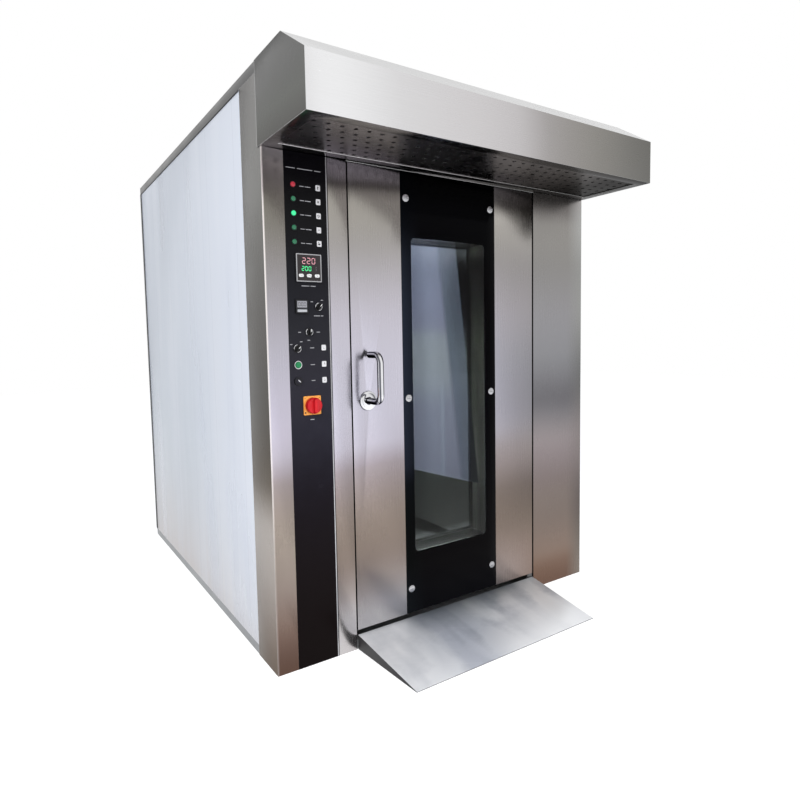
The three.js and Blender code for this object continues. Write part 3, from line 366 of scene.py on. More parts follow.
upright = {"fine": (1100, 1100, 5), "broad": (2.2, 2.2, 0.5)}
level = {"fine": (4, 900, 1100), "broad": (0.5, 2.0, 2.0)}
sheet = {  # what a brushed sheet has where its own values below don't say otherwise
    "span": (0, 2100), "axis": "Z", "waver": 0.006, "lines": 0.022, "rough": 0.25, "metal": 1.0, "bump": 0.03,
    "sideSpan": (0, 2100), "highlightAndShadeLines": (), "glint": 0.5, "edgeTone": 1.0,
}
# The post's side face, painted darker than its front: painted shade.
postSideShade = [(0, "#6A5E54"), (110, "#74685F"), (280, "#98908A"), (400, "#A59E98"), (520, "#AEA7A2"),
            (600, "#8E8780"), (680, "#5F574D"), (850, "#605C57"), (1000, "#605E5B"), (1250, "#6A6866"),
            (1500, "#747370"), (1700, "#878784"), (2100, "#8C8A89")]
# A line of painted highlight or painted shade is: axis, start, end, tone, amount, and the heights
# between which it grows.
# The bands of tone in these sheets are painted reflection and shade.
metalUser = {
    "frontSteel": {
        # near-black painted shade on the sides in the gaps; the dark band under the hood is painted shade; a
        # painted shade line in the gap beside the panel trim
        **upright, "sideShadeBands": [(0, "#0C0C0D"), (2100, "#141415")],
        "bands": [(0, "#BEBABA"), (110, "#C6C3C4"), (210, "#968D8A"), (330, "#796C64"), (520, "#85796F"),
                  (690, "#988D90"), (780, "#C5C1CE"), (1000, "#CBC9D6"), (1250, "#C8C4CF"),
                  (1420, "#B3AFB3"), (1560, "#A19D98"), (1680, "#A8A49C"), (1718, "#8E8A84"),
                  (1742, "#3A3634"), (1766, "#787476"), (1817, "#87828A")],
        "rightShadeBands": [(0, "#77665E"), (110, "#85736A"), (210, "#86756C"), (330, "#74685E"),
                       (500, "#655B56"), (600, "#877D7B"), (700, "#968E8D"), (800, "#8E8C92"),
                       (900, "#86848A"), (1100, "#8D8D92"), (1300, "#A09B9E"), (1500, "#8C8988"),
                       (1650, "#AFABA6"), (1690, "#BDB9B4"), (1718, "#A39F9A"), (1742, "#6C6866"),
                       (1817, "#6A6667")],
        "cross": (-250, 480), "highlightAndShadeLines": [("X", -559, -554, "#151417", 0.9, 0, 1)],
    },
    "postSteel": {
        **upright, "sideShadeBands": postSideShade,
        "bands": [(0, "#5C473D"), (90, "#66524A"), (180, "#7E6B61"), (300, "#8A7E78"), (500, "#93897E"),
                  (680, "#8C807D"), (780, "#C3BDC9"), (900, "#CCC6D6"), (1100, "#C1BFCB"), (1300, "#AEAAB1"),
                  (1500, "#8D8984"), (1660, "#868379"), (1730, "#6E6A69"), (1775, "#86827F"),
                  (1817, "#8A8689")],
        # a painted highlight down the post's front bend
        "edgeTone": 0.72, "highlightAndShadeLines": [("X", -800.5, -793, "#FBF4F1", 1.0, 350, 1300)],
    },
    "columnSteel": {
        **upright, "sideShadeBands": postSideShade, "innerSide": 600,
        "bands": [(0, "#6A5144"), (90, "#765E50"), (160, "#88766B"), (300, "#776B64"), (420, "#7C716B"),
                  (520, "#7C716F"), (640, "#8E8485"), (720, "#928A8A"), (820, "#777578"), (900, "#676568"),
                  (1000, "#7E7D80"), (1100, "#8B8B8D"), (1300, "#99979A"), (1500, "#8B8986"),
                  (1680, "#999692"), (1740, "#7C7876"), (1817, "#5C5856")],
        "rightShadeBands": [(0, "#867C72"), (300, "#5A524E"), (500, "#6E6563"), (700, "#948B8A"),
                       (900, "#646464"), (1100, "#7E7E7E"), (1300, "#9F9F9D"), (1500, "#90908E"),
                       (1650, "#ABABA9"), (1740, "#A7A7A5"), (1817, "#A6A2A1")],
        "cross": (700, 790), "edgeTone": 0.72, "glint": 0.0,
        # a painted shade line in the gap beside the door
        "highlightAndShadeLines": [("X", 469.6, 474, "#08080A", 1.0, 0, 1)],
    },
    "hoodSteel": {
        # painted highlight on the slope, which looks up; painted shade on the underside and the cheek; a
        # painted highlight along the cheek's rear edge
        **level, "span": (-810, 810), "axis": "X", "sideSpan": (1800, 2100), "upFacingHighlight": "#FFFFFF",
        "sideShadeBands": [(1800, "#656462"), (1900, "#737471"), (2000, "#727271"), (2100, "#656564")],
        "bands": [(-810, "#DFDEDF"), (-740, "#F0F0F1"), (-620, "#EAEAEB"), (-470, "#D7D6D7"),
                  (-200, "#D0CDCE"), (20, "#C6C3C4"), (170, "#A29E9D"), (400, "#928F8A"),
                  (600, "#82807C"), (810, "#6C6B67")],
        "underShadeBands": [(-810, "#B9B5B6"), (-300, "#9A9697"), (100, "#6C6866"), (400, "#3A3734"),
                       (600, "#2A2725"), (810, "#201E1C")],
        "waver": 0.015, "lines": 0.025, "rough": 0.24, "bump": 0.05, "edgeTone": 0.68,
        "highlightAndShadeLines": [("Y", 19, 26, "#D9D9DA", 0.6, 0, 1)],
    },
    "soffitSteel": {
        # bands of painted reflection and shade, dark to the right
        **level, "span": (-810, 810), "axis": "X",
        "bands": [(-810, "#C3BDC0"), (-560, "#CCC6C9"), (-300, "#BDB8BA"), (0, "#B2AEAF"),
                  (300, "#A09B99"), (470, "#6A6664"), (600, "#2E2B28"), (810, "#201E1C")],
        "waver": 0.02, "lines": 0.03, "rough": 0.27, "bump": 0.04, "edgeTone": 0.45,
    },
    "chamberSteel": {
        **upright, "span": (90, 1320), "axis": "Y",
        "bands": [(90, "#777879"), (500, "#85888C"), (800, "#A2A5AA"), (930, "#B9BDC1"),
                  (1010, "#9B9FA5"), (1320, "#ABAEB4")],
        "waver": 0.02, "lines": 0.02, "rough": 0.45, "metal": 0.3, "bump": 0.015, "glint": 0.3,
    },
    "doorBackSteel": {
        # painted shade on the door's back, which is seen through the window
        **upright, "span": (8, 108), "axis": "Y", "sideSpan": (300, 1600),
        "bands": [(8, "#474A45"), (60, "#3E403C"), (88, "#53554F"), (100, "#A3A5A8"), (108, "#A9ABAE")],
        "sideShadeBands": [(300, "#62655F"), (700, "#5C5F59"), (1200, "#4C4F49"), (1600, "#464943")],
        "waver": 0.0, "lines": 0.04, "rough": 0.36, "metal": 0.9, "bump": 0.06,
    },
    "zincSheet": {
        **upright, "bands": [(0, "#8F9193"), (1000, "#A9ABAD"), (2100, "#9C9FA1")],
        "waver": 0.06, "lines": 0.015, "rough": 0.42, "metal": 0.9, "bump": 0.015,
    },
    "trimSteel": {
        **level, "span": (-800, 800), "axis": "X", "bands": [(-800, "#6B6B6B"), (800, "#7C7B7A")],
        "waver": 0.04, "lines": 0.05, "rough": 0.36, "bump": 0.08,
    },
    "millSteel": {
        **level, "bands": [(0, "#6C6B6B"), (2100, "#747373")],
        "waver": 0.05, "lines": 0.08, "rough": 0.42, "metal": 0.95, "bump": 0.15,
    },
}
shadowTone, glintTone = "#060606", "#EDEDEE"


def brushedMetal(name, user):
    # Brushed stainless: soft bands of painted reflection and shade across the sheet, fine lines
    # along the brushing, cloudy handling marks in the gloss.
    paint, span = newMaterial(name), user["span"]
    marks = paint.group(brushGroup, Fine_Stretch=user["fine"], Broad_Stretch=user["broad"])
    waver = paint.swing(marks["Broad"], -user["waver"], user["waver"])
    value = paint.plus(paint.axis(user["axis"], *span), waver, True)
    colour = paint.ramp(value, user["bands"], *span)
    # painted reflection and shade of the sheet's right-hand part
    if "rightShadeBands" in user:
        rightShade = paint.ramp(value, user["rightShadeBands"], *span)
        colour = paint.mix(paint.axis("X", *user["cross"]), colour, rightShade)
    facing = paint.facing()
    # painted shade on faces that look sideways
    if "sideShadeBands" in user:
        side = paint.ramp(paint.axis("Z", *user["sideSpan"]), user["sideShadeBands"], *user["sideSpan"])
        if "innerSide" in user:  # the side beside the door lies in its own shadow
            middle = user["innerSide"]
            side = paint.mix(paint.axis("X", middle - 1, middle + 1), shadowTone, side)
        colour = paint.mix(paint.span(facing[0], 0.6, 0.8), colour, side)
    # painted highlight on faces that look up, painted shade on faces that look down
    if "upFacingHighlight" in user:  # faces that look up, and those that look down
        rise = paint.split(paint.normal())["Z"]
        colour = paint.mix(paint.span(rise, 0.5, 0.75), colour, user["upFacingHighlight"])
        under = paint.ramp(value, user["underShadeBands"], *span)
        colour = paint.mix(paint.span(rise, -0.5, -0.75), colour, under)
    # lines of painted highlight or painted shade along the sheet
    for axis, start, end, tone, amount, low, high in user["highlightAndShadeLines"]:
        near = paint.axis(axis, start, end)
        inLine = paint.times(paint.span(near, 0, 0.15), paint.span(near, 1, 0.55, 0, amount))
        ahead = paint.span(facing[0 if axis == "Y" else 1], 0.5, 0.8)
        fade = paint.span(paint.axis("Z", low, high), 0, 1, 0.12, 1)
        colour = paint.mix(paint.times(inLine, paint.times(ahead, fade)), colour, tone)
    # On a bend, no axis is faced squarely; a painted highlight there stands for the light the edge catches.
    most = paint.math("MAXIMUM", paint.math("MAXIMUM", facing[0], facing[1]), facing[2])
    colour = paint.mix(paint.times(paint.span(most, 0.97, 0.78), user["glint"]), colour, glintTone)
    lines = paint.swing(marks["Fine"], 1 - user["lines"], 1 + user["lines"])
    smudge = paint.span(marks["Smudge"], 0.35, 0.65, user["rough"] - 0.04, user["rough"] + 0.05)
    paint.plug(paint.shader, {
        "Base Color": paint.stretch(colour, lines), "Metallic": user["metal"],
        "Specular Tint": (user["edgeTone"],) * 3 + (1,),  # its brightness seen at a flat angle
        "Roughness": paint.plus(paint.swing(marks["Fine"], -0.03, 0.03), smudge)})
    paint.bump(marks["Fine"], user["bump"], 0.0004)


for name, user in metalUser.items():
    brushedMetal(name, {**sheet, **user})

# films, glass, plastics and other finishes

filmUser = {
    "bands": [(0, "#DDDADA"), (120, "#EFF0F4"), (400, "#F0F4FC"), (1000, "#EFF4FF"), (1600, "#E6ECF8"),
              (2100, "#E2E8F4")],
    "rear": [(0, "#D0C9C6"), (120, "#DAD6D6"), (400, "#D3D8DF"), (700, "#D0D8E1"), (1200, "#DCE4F0"),
             (2100, "#D3DAE6")],
    "span": (0, 2100), "cross": (300, 1100), "milk": "#F1F4FB", "blue": "#C6CFE2", "crease": "#9FA8BA",
    "seam": 0.34, "rough": 0.3, "bump": 0.3, "metal": 0.15,
}


def makeFilm(user):
    # Metal under a milky protective film: creases and seams lift the film, milk pales it; the
    # creases and seams are also painted darker, as painted shade along the folds.
    paint = newMaterial("filmOverSteel")
    creases = paint.group(filmGroup, Seam_Spacing=user["seam"])
    milk, height = creases["Milk"], paint.axis("Z", *user["span"])
    near, far = (paint.ramp(height, user[key], *user["span"]) for key in ("bands", "rear"))
    colour = paint.mix(paint.axis("Y", *user["cross"]), near, far)
    colour = paint.mix(paint.span(milk, 0.5, 0.64, 0, 0.45), colour, user["milk"])
    colour = paint.mix(paint.span(milk, 0.47, 0.36, 0, 0.3), colour, user["blue"])
    lined = paint.math("MAXIMUM", paint.times(creases["Seam"], 0.4), paint.times(creases["Crease"], 0.3))
    paint.plug(paint.shader, {
        "Base Color": paint.mix(lined, colour, user["crease"]), "Metallic": user["metal"],
        "Roughness": paint.span(milk, 0.35, 0.65, user["rough"] - 0.06, user["rough"] + 0.12)})
    paint.bump(creases["Height"], user["bump"], 0.0012)


panelUser = {
    "span": (0, 1817), "rough": 0.2, "gloss": 0.05, "bump": 0.04, "waver": 0.012, "grain": 700.0,
    "bands": [(0, "#0F0808"), (200, "#100909"), (480, "#130D11"), (700, "#1A171E"), (900, "#2D2C36"),
              (1080, "#2C2B32"), (1200, "#29292E"), (1320, "#222227"), (1450, "#1C1C1F"),
              (1600, "#151516"), (1720, "#08070A"), (1817, "#050409")],
}


def makePanel(user):
    # Glossy black foil: bands of reflected tone up its height, fine dust in the gloss.
    paint = newMaterial("panelBlack")
    skin = paint.group(mouldGroup, Grain=user["grain"])
    waver = paint.swing(skin["Dust"], -user["waver"], user["waver"])
    height = paint.plus(paint.axis("Z", *user["span"]), waver, True)
    paint.plug(paint.shader, {
        "Base Color": paint.ramp(height, user["bands"], *user["span"]), "Specular IOR Level": user["gloss"],
        "Roughness": paint.swing(skin["Dust"], user["rough"] - 0.05, user["rough"] + 0.08)})
    paint.bump(skin["Height"], user["bump"], 0.0003)


borderUser = {
    "left": [(75, "#14171A"), (200, "#0E1012"), (300, "#0A0B0A"), (600, "#090B0B"), (680, "#1D2029"),
             (900, "#20252F"), (1300, "#232731"), (1480, "#1D2028"), (1600, "#0A0B0E"), (1811, "#010204")],
    "right": [(75, "#0E0E11"), (300, "#0B0909"), (700, "#030306"), (1300, "#020102"), (1550, "#060607"),
              (1680, "#0A0A0C"), (1740, "#040405"), (1811, "#010101")],
    "span": (75, 1811), "cross": (-240, -150), "rough": 0.09, "gloss": 0.03, "grain": 120.0,
    "mirror": (0.1, 0.1, 0.11, 1),
}


def makeBorder(user):
    # The printed black band behind the glass: dark bands that follow what it reflects.
    paint = newMaterial("glassBorder")
    height = paint.axis("Z", *user["span"])
    left, right = (paint.ramp(height, user[side], *user["span"]) for side in ("left", "right"))
    dust = paint.group(mouldGroup, Grain=user["grain"])["Dust"]
    paint.plug(paint.shader, {
        "Base Color": paint.mix(paint.axis("X", *user["cross"]), left, right),
        "Roughness": paint.swing(dust, user["rough"] - 0.03, user["rough"] + 0.05),
        "Specular IOR Level": user["gloss"], "Specular Tint": user["mirror"]})


windowUser = {
    "span": (322, 1564),
    "bright": [(322, "#A9A9B6"), (900, "#ABABBA"), (1000, "#BABDC0"), (1180, "#BEC1C2"), (1225, "#A6A5B9"),
               (1440, "#ADB0C3"), (1500, "#C8CBDC"), (1564, "#DCDFF2")],
    "middle": [(322, "#8C90A0"), (900, "#8C929F"), (1100, "#8A929B"), (1300, "#757B86"), (1450, "#949AA8"),
               (1500, "#B6BAC6"), (1564, "#C5C9D4")],
    "dark": [(322, "#8C8F84"), (700, "#7E817A"), (1100, "#6C706A"), (1210, "#26272B"), (1270, "#1A1A1E"),
             (1390, "#010101"), (1488, "#010101"), (1512, "#6A6C6A"), (1564, "#7C7F7C")],
    "lining": [(322, "#E0E0DA"), (400, "#C8C8C2"), (550, "#E6E6E2"), (700, "#DCDDD8"), (850, "#C0C1BC"),
               (1150, "#AEB0A9"), (1250, "#70716D"), (1320, "#4A4B49"), (1450, "#0A0A0A"), (1500, "#101010"),
               (1530, "#A6A8A1"), (1564, "#B0B2AC")],
    "low": [(322, "#F0F0E8"), (400, "#6E6E66"), (550, "#585952"), (660, "#545650")],
    # painted highlight: a pale stripe, and the same tone on the rim of the dim part
    "stripe": (-0.066, -0.05, -0.042), "stripeTop": (1.02, 0.96), "highlightTone": "#C6CCD2",
    "lean": 0.116, "edge": 0.20292,  # the pale part ends where x and the lean times z make up the edge
    "fades": {"beyond": (-0.004, 0.004, 0, 1), "soft": (-0.104, -0.082, 0, 1),
              "last": (-0.08, -0.02, 0, 0.32)},
    "foot": 0.5937, "fall": 0.32,  # the dim part's height at the middle, and its fall to the right
    "liningLeft": (0.1, 0.106), "liningDeep": (0.125, 0.15, 0, 0.5),
}


def paintedReflectionTint(paint, user):
    # A painted reflection of the room in the pane, and painted light and shade of the chamber seen
    # through it, in metres: a pale leaning field, a dark one beside it and a dim one below a falling
    # line, each edge a sum of the place along x and z.
    place = paint.split(paint.place)
    x, z = place["X"], place["Z"]
    low, high = user["span"]
    lean = paint.plus(x, paint.times(z, user["lean"]))
    fades = {key: paint.span(lean, user["edge"] + start, user["edge"] + end, *amounts)
             for key, (start, end, *amounts) in user["fades"].items()}
    height = paint.span(z, low * mm, high * mm)
    tones = {key: paint.ramp(height, user[key], low, high)
             for key in ("bright", "middle", "dark", "low", "lining")}
    pale = paint.mix(fades["last"], paint.mix(fades["soft"], tones["bright"], tones["middle"]), tones["dark"])
    left, peak, right = user["stripe"]
    inStripe = paint.times(paint.span(x, left, peak), paint.span(x, right, peak))
    inStripe = paint.times(inStripe, paint.span(z, *user["stripeTop"], 0, 0.4))
    pale = paint.mix(inStripe, pale, user["highlightTone"])
    atLining = paint.span(x, *user["liningLeft"])
    deep = paint.mix(paint.span(x, *user["liningDeep"]), tones["lining"], shadowTone)
    upper = paint.mix(fades["beyond"], pale, paint.mix(atLining, tones["dark"], deep))
    fall = paint.plus(z, paint.times(x, user["fall"]))
    foot = user["foot"]
    rimmed = paint.mix(paint.span(fall, foot + 0.006, foot + 0.002, 0, 0.5), upper, user["highlightTone"])
    lower = paint.mix(atLining, tones["low"], deep)
    return paint.mix(paint.span(fall, foot + 0.002, foot - 0.003), rimmed, lower)


glassUser = {"grain": 60.0, "index": 1.45, "gloss": 0.08, "mirror": (0.05, 0.05, 0.055, 1), "smudge": 0.02}


def makeGlass(name, colour, reflectionUser=None):
    # See-through pane with a coated, dim mirror: plain transmission, smudges only in the gloss.
    paint = newMaterial(name)
    dust = paint.group(mouldGroup, Grain=glassUser["grain"])["Dust"]
    paint.plug(paint.shader, {
        "Base Color": colour, "Transmission Weight": 1.0, "IOR": glassUser["index"],
        "Specular IOR Level": glassUser["gloss"], "Specular Tint": glassUser["mirror"],
        "Roughness": paint.span(dust, 0.5, 0.75, 0, glassUser["smudge"])})
    # the pane's colour carries a painted reflection and painted light and shade of the chamber
    if reflectionUser:
        paint.plug(paint.shader, {"Base Color": paintedReflectionTint(paint, reflectionUser)})


chromeUser = {
    # bands of painted reflection, chosen by the way a face turns
    "lit": (0.417, -0.2745, 0.26),  # how much a face's turn along x, y and z counts for its band
    "bands": [(0.0, "#141416"), (0.06, "#1E1E20"), (0.11, "#4A4A50"), (0.17, "#FFFFFF"), (0.27, "#F0F0F4"),
              (0.33, "#50515C"), (0.52, "#4A4B55"), (0.62, "#FFFFFF"), (0.83, "#FFFFFF"), (0.9, "#8A8A90"),
              (0.96, "#1A1A1D"), (1.0, "#08080A")],
    "mirror": (0.3, 0.3, 0.32, 1), "turn": 0.5, "dull": 0.82, "haze": 0.08, "scratch": 0.05,
}


def makeChrome(name, colour, rough, withPaintedReflection=False):
    # Polished metal: a near-mirror with faint hazed patches. A banded one is painted darker where a
    # face turns away: a painted reflection, as a bright bar shows the dark of a room.
    paint = newMaterial(name)
    marks = paint.group(scratchGroup, Turn=chromeUser["turn"])
    base = linear(colour)
    dull = tuple(c * chromeUser["dull"] for c in base[:3]) + (1,)
    tone = paint.mix(paint.span(marks["Cloud"], 0.4, 0.7), base, dull)
    if withPaintedReflection:
        x, y, z = (paint.times(part, share)
                   for part, share in zip(paint.split(paint.normal()), chromeUser["lit"]))
        bands = paint.ramp(paint.plus(paint.plus(x, paint.plus(y, z)), 0.5, True), chromeUser["bands"])
        tone = paint.mix(1.0, tone, bands, "MULTIPLY")
        paint.plug(paint.shader, {"Specular Tint": chromeUser["mirror"]})
    paint.plug(paint.shader, {
        "Base Color": tone, "Metallic": 1.0,
        "Roughness": paint.span(marks["Cloud"], 0.35, 0.7, rough, rough + chromeUser["haze"])})
    paint.bump(marks["Lines"], chromeUser["scratch"], 0.0002)


rampUser = {
    "bands": [(-480, "#F4F4F6"), (-330, "#E8E9EC"), (-180, "#B2B7C5"), (0, "#CFD3DA"), (200, "#F0F1F4"),
              (470, "#FFFFFF")],
    "scratch": "#FFFFFF", "stain": "#7F8594", "scuffAndHighlight": "#FBFCFE", "edge": "#2F2E30", "doorShade": "#3E464B",
    "rough": 0.42, "bump": 0.06, "metal": 0.4, "turn": 0.42, "span": (-480, 480),
    "smear": (2, 0.45, (9, 1.3, 1)), "wipe": (1.5, 0.45, (5, 2.4, 1)),
    "front": (-200, -330), "frontSide": (-160, 60), "left": (-330, -220),  # mm, where the plate is paler
    "rear": (-170, -4), "rearLeft": (-330, -150), "rearRight": (260, 420),  # mm, where the door shades it
}


def makeRampPlate(user):
    # Scuffed stainless plate: smears drawn out the way trolleys roll, over cloudy stains, on bands
    # of painted light and shade across it.
    paint = newMaterial("rampPlate")
    marks = paint.group(scratchGroup, Turn=user["turn"])
    colour = paint.ramp(paint.axis("X", *user["span"]), user["bands"], *user["span"])
    smear, wipe = (paint.noise(paint.place, 1, *user[key]) for key in ("smear", "wipe"))
    both = paint.plus(paint.times(smear, 0.6), paint.times(marks["Cloud"], 0.4))
    colour = paint.mix(paint.span(both, 0.45, 0.6, 0, 0.55), colour, user["stain"])
    colour = paint.mix(paint.span(wipe, 0.5, 0.66, 0, 0.7), colour, user["scuffAndHighlight"])
    # painted light: the front and the left painted paler, in the scuffs' tone
    front = paint.times(paint.axis("Y", *user["front"]), paint.axis("X", *user["frontSide"]))
    front = paint.math("MAXIMUM", front, paint.span(paint.axis("X", *user["left"]), 0, 1, 0.55, 0))
    colour = paint.mix(paint.times(front, 0.8), colour, user["scuffAndHighlight"])
    colour = paint.mix(paint.span(marks["Lines"], 0, 1, 0, 0.12), colour, user["scratch"])
    rear = paint.math("POWER", paint.axis("Y", *user["rear"]), 1.5)
    middle = paint.times(paint.span(paint.axis("X", *user["rearLeft"]), 0, 1, 0.15, 1),
                         paint.span(paint.axis("X", *user["rearRight"]), 0, 1, 1, 0.3))
    colour = paint.mix(paint.times(paint.times(rear, middle), 0.8), colour, user["doorShade"])
    # the plate's sides painted dark: painted shade of the gap under the plate
    colour = paint.mix(paint.span(paint.facing()[2], 0.7, 0.4), colour, user["edge"])
    paint.plug(paint.shader, {
        "Base Color": colour, "Metallic": user["metal"],
        "Roughness": paint.span(both, 0.35, 0.65, user["rough"] - 0.08, user["rough"] + 0.1)})
    paint.bump(marks["Lines"], user["bump"], 0.0004)


woolUser = {"fibres": (4, 0.7, (220, 90, 60)), "clump": 26.0, "rough": 0.95, "bump": 0.9, "depth": 0.004,
            "bands": [(0.3, "#6F6536"), (0.5, "#A79A5C"), (0.72, "#C9BE86")]}


def makeWool(user):
    # Mineral wool: matted fibres in two strong noises.
    paint = newMaterial("mineralWool")
    fibres = paint.noise(paint.place, 1, *user["fibres"])
    clumps = paint.noise(paint.place, user["clump"], 4, 0.6)
    both = paint.plus(paint.times(fibres, 0.5), paint.times(clumps, 0.5))
    paint.plug(paint.shader, {"Base Color": paint.ramp(both, user["bands"]), "Roughness": user["rough"]})
    paint.bump(fibres, user["bump"], user["depth"])


moulded = {"grain": 900.0, "dust": 0.12, "bump": 0.06}
plainUser = {
    "rubberBlack": {"colour": "#17171A", "rough": 0.62, "bump": 0.2, "grain": 500.0},
    "plasticBlack": {"colour": "#0B0B0D", "rough": 0.34, "dust": 0.6},
    "plasticGrey": {"colour": "#B4B6BA", "rough": 0.42},
    "plasticDark": {"colour": "#2A2A2E", "rough": 0.4},
    "plasticWhite": {"colour": "#E7E7E6", "rough": 0.4},
    "legendWhite": {"colour": "#DAD9DB", "rough": 0.45, "dust": 0.05},
    "motorPaint": {"colour": "#5D6A78", "rough": 0.45, "bump": 0.25, "grain": 350.0},
    "lensRed": {"colour": "#8E1626", "rough": 0.18, "coat": 0.6, "glow": 0.3, "glowColour": "#D82A46"},
    "lensGreen": {"colour": "#1F6E4C", "rough": 0.18, "coat": 0.6},
    "buttonGreen": {"colour": "#137A48", "rough": 0.3, "coat": 0.2},
    "lensLit": {"colour": "#2FBF7E", "rough": 0.18, "coat": 0.6, "glow": 0.7, "glowColour": "#35D58C"},
    "ruleGrey": {"colour": "#A9A9AD", "rough": 0.45, "dust": 0.05},
    "timerDigit": {"colour": "#3A3537", "rough": 0.4},
    "plateYellow": {"colour": "#ECA04A", "rough": 0.42},
    "knobRed": {"colour": "#C20C1A", "rough": 0.36, "coat": 0.2},
    "digitRed": {"colour": "#D8A0A8", "rough": 0.5, "glow": 0.35, "glowColour": "#E0909C"},
    "digitGreen": {"colour": "#4ED98A", "rough": 0.5, "glow": 0.8, "glowColour": "#42D888"},
    "screenDark": {"colour": "#1A1214", "rough": 0.16, "coat": 0.5},
    "screenGrey": {"colour": "#9A9AA0", "rough": 0.25, "coat": 0.4},
}


def plainMaterial(name, user):
    # Plastic, rubber, paint or glow: one colour with moulded grain and a little dust.
    paint = newMaterial(name)
    skin = paint.group(mouldGroup, Grain=user["grain"])
    dark = linear(user["colour"])
    dusty = tuple(min(1, c * (1 + user["dust"]) + 0.004) for c in dark[:3]) + (1,)
    paint.plug(paint.shader, {
        "Base Color": paint.mix(paint.span(skin["Dust"], 0.35, 0.7), dark, dusty), "Specular IOR Level": 0.25,
        "Roughness": paint.swing(skin["Dust"], user["rough"] - 0.03, user["rough"] + 0.06)})
    extras = {"glow": "Emission Strength", "glowColour": "Emission Color", "coat": "Coat Weight"}
    paint.plug(paint.shader, {socket: user[key] for key, socket in extras.items() if key in user})
    paint.bump(skin["Height"], user["bump"], 0.0003)


makeFilm(filmUser)
makePanel(panelUser)
makeBorder(borderUser)
makeGlass("windowGlass", "#A3ACB8", windowUser)
makeGlass("innerGlass", "#D5DBDE")
makeChrome("chromePlate", "#F4F4F6", 0.07, True)
makeChrome("satinChrome", "#B9B9BC", 0.22)
makeChrome("darkMetal", "#3A393B", 0.34)
makeRampPlate(rampUser)
makeWool(woolUser)
for name, user in plainUser.items():
    plainMaterial(name, {**moulded, **user})
print("materials made:", len(finish))

# mesh helpers

slotOf = {look: slot for slot, looks in {
    "steel": "frontSteel postSteel columnSteel hoodSteel soffitSteel chamberSteel doorBackSteel millSteel "
             "rampPlate",
    "galvanised": "zincSheet trimSteel", "film": "filmOverSteel",
    "chrome": "chromePlate satinChrome darkMetal", "black_panel": "glassBorder",
    "glass": "windowGlass", "rubber": "rubberBlack", "motor_paint": "motorPaint",
    "black_plastic": "plasticBlack plasticDark", "white_plastic": "plasticWhite legendWhite",
    "grey_plastic": "plasticGrey ruleGrey timerDigit screenGrey", "red_lens": "lensRed digitRed",
    "green_lens": "lensGreen lensLit digitGreen", "green_button": "buttonGreen",
    "yellow_plate": "plateYellow", "red_knob": "knobRed"}.items() for look in looks.split()}


def settle(piece, look, node=None, body=None, slot=None):
    # Gives a piece its finish and body, and takes away the CAD node that it stands for. The slot is not used.
    piece.data.materials.append(finish[look])
    bpy.context.scene.collection.objects.link(piece)
    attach(piece, body or bodyOfNode.get(node, "oven"))
    if node:
        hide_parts(node)
    return piece


def addPiece(name, points, faces, look, smooth=True, **carrier):
    # Points in metres and faces, as one piece on its body.
    mesh = bpy.data.meshes.new(name)
    mesh.from_pydata(np.asarray(points, float).tolist(), [], [tuple(int(i) for i in f) for f in faces])
    mesh.validate()
    mesh.polygons.foreach_set("use_smooth", [smooth] * len(mesh.polygons))
    return settle(bpy.data.objects.new(name, mesh), look, **carrier)


def edit(mesh, *steps):
    # Runs each step on the mesh, opened for editing.
    bm = bmesh.new()
    bm.from_mesh(mesh)
    for step in steps:
        step(bm)
    bm.to_mesh(mesh)
    bm.free()


def merged(distance):
    # Joins points that lie closer together than this.
    return lambda bm: bmesh.ops.remove_doubles(bm, verts=bm.verts, dist=distance)


def outward(bm):
    # Turns every face of a closed shape outwards.
    bmesh.ops.recalc_face_normals(bm, faces=bm.faces)


def creased(degrees):
    # Keeps an edge crisp where its faces meet at more than this angle.
    def step(bm):
        for edge in bm.edges:
            if len(edge.link_faces) == 2:
                edge.smooth = edge.calc_face_angle(0) < math.radians(degrees)
    return step


def gridFaces(rows, columns, closed=True):
    # Quads over a grid of points; with closed set, each row joins its own start.
    r = np.arange(rows - 1)[:, None]
    c = np.arange(columns if closed else columns - 1)[None, :]
    a, b = r * columns + c, r * columns + (c + 1) % columns
    return np.stack([a, b, b + columns, a + columns], axis=-1).reshape(-1, 4)


def solid(name, stacks, look, ring=False, crease=32, **carrier):
    # One piece from stacks of equal loops, each loop joined to the next. The first and last
    # loop get flat caps, or are joined to each other in a ring. With a crease angle, points that
    # fall together are merged.
    points, faces, offset = [], [], 0
    for loops in stacks:
        loops = np.concatenate([loops, loops[:1]]) if ring else np.asarray(loops)
        rows, columns = loops.shape[:2]
        sides = gridFaces(rows, columns).tolist()
        if not ring:
            sides += [list(range(columns))[::-1], list(range((rows - 1) * columns, rows * columns))]
        faces += [[i + offset for i in side] for side in sides]
        points.append(loops.reshape(-1, 3))
        offset += rows * columns
    piece = addPiece(name, np.concatenate(points), faces, look, **carrier)
    if crease:
        edit(piece.data, merged(1e-6), outward)
    edit(piece.data, creased(crease) if crease else outward)
    return piece


def columns(a, b, along, axis):
    # Points whose place along one axis is given apart from the other two.
    places = [a, b]
    places.insert(axis, np.full(len(a), float(along)))
    return np.stack(places, axis=1)


def circle(radius, count=48):
    # A circle whose radius loses the inset, as seen from the front, clockwise.
    turn = -np.arange(count) * 2 * np.pi / count
    return lambda inset: np.stack([np.cos(turn), np.sin(turn)], axis=1) * max(radius - inset, 0.01)


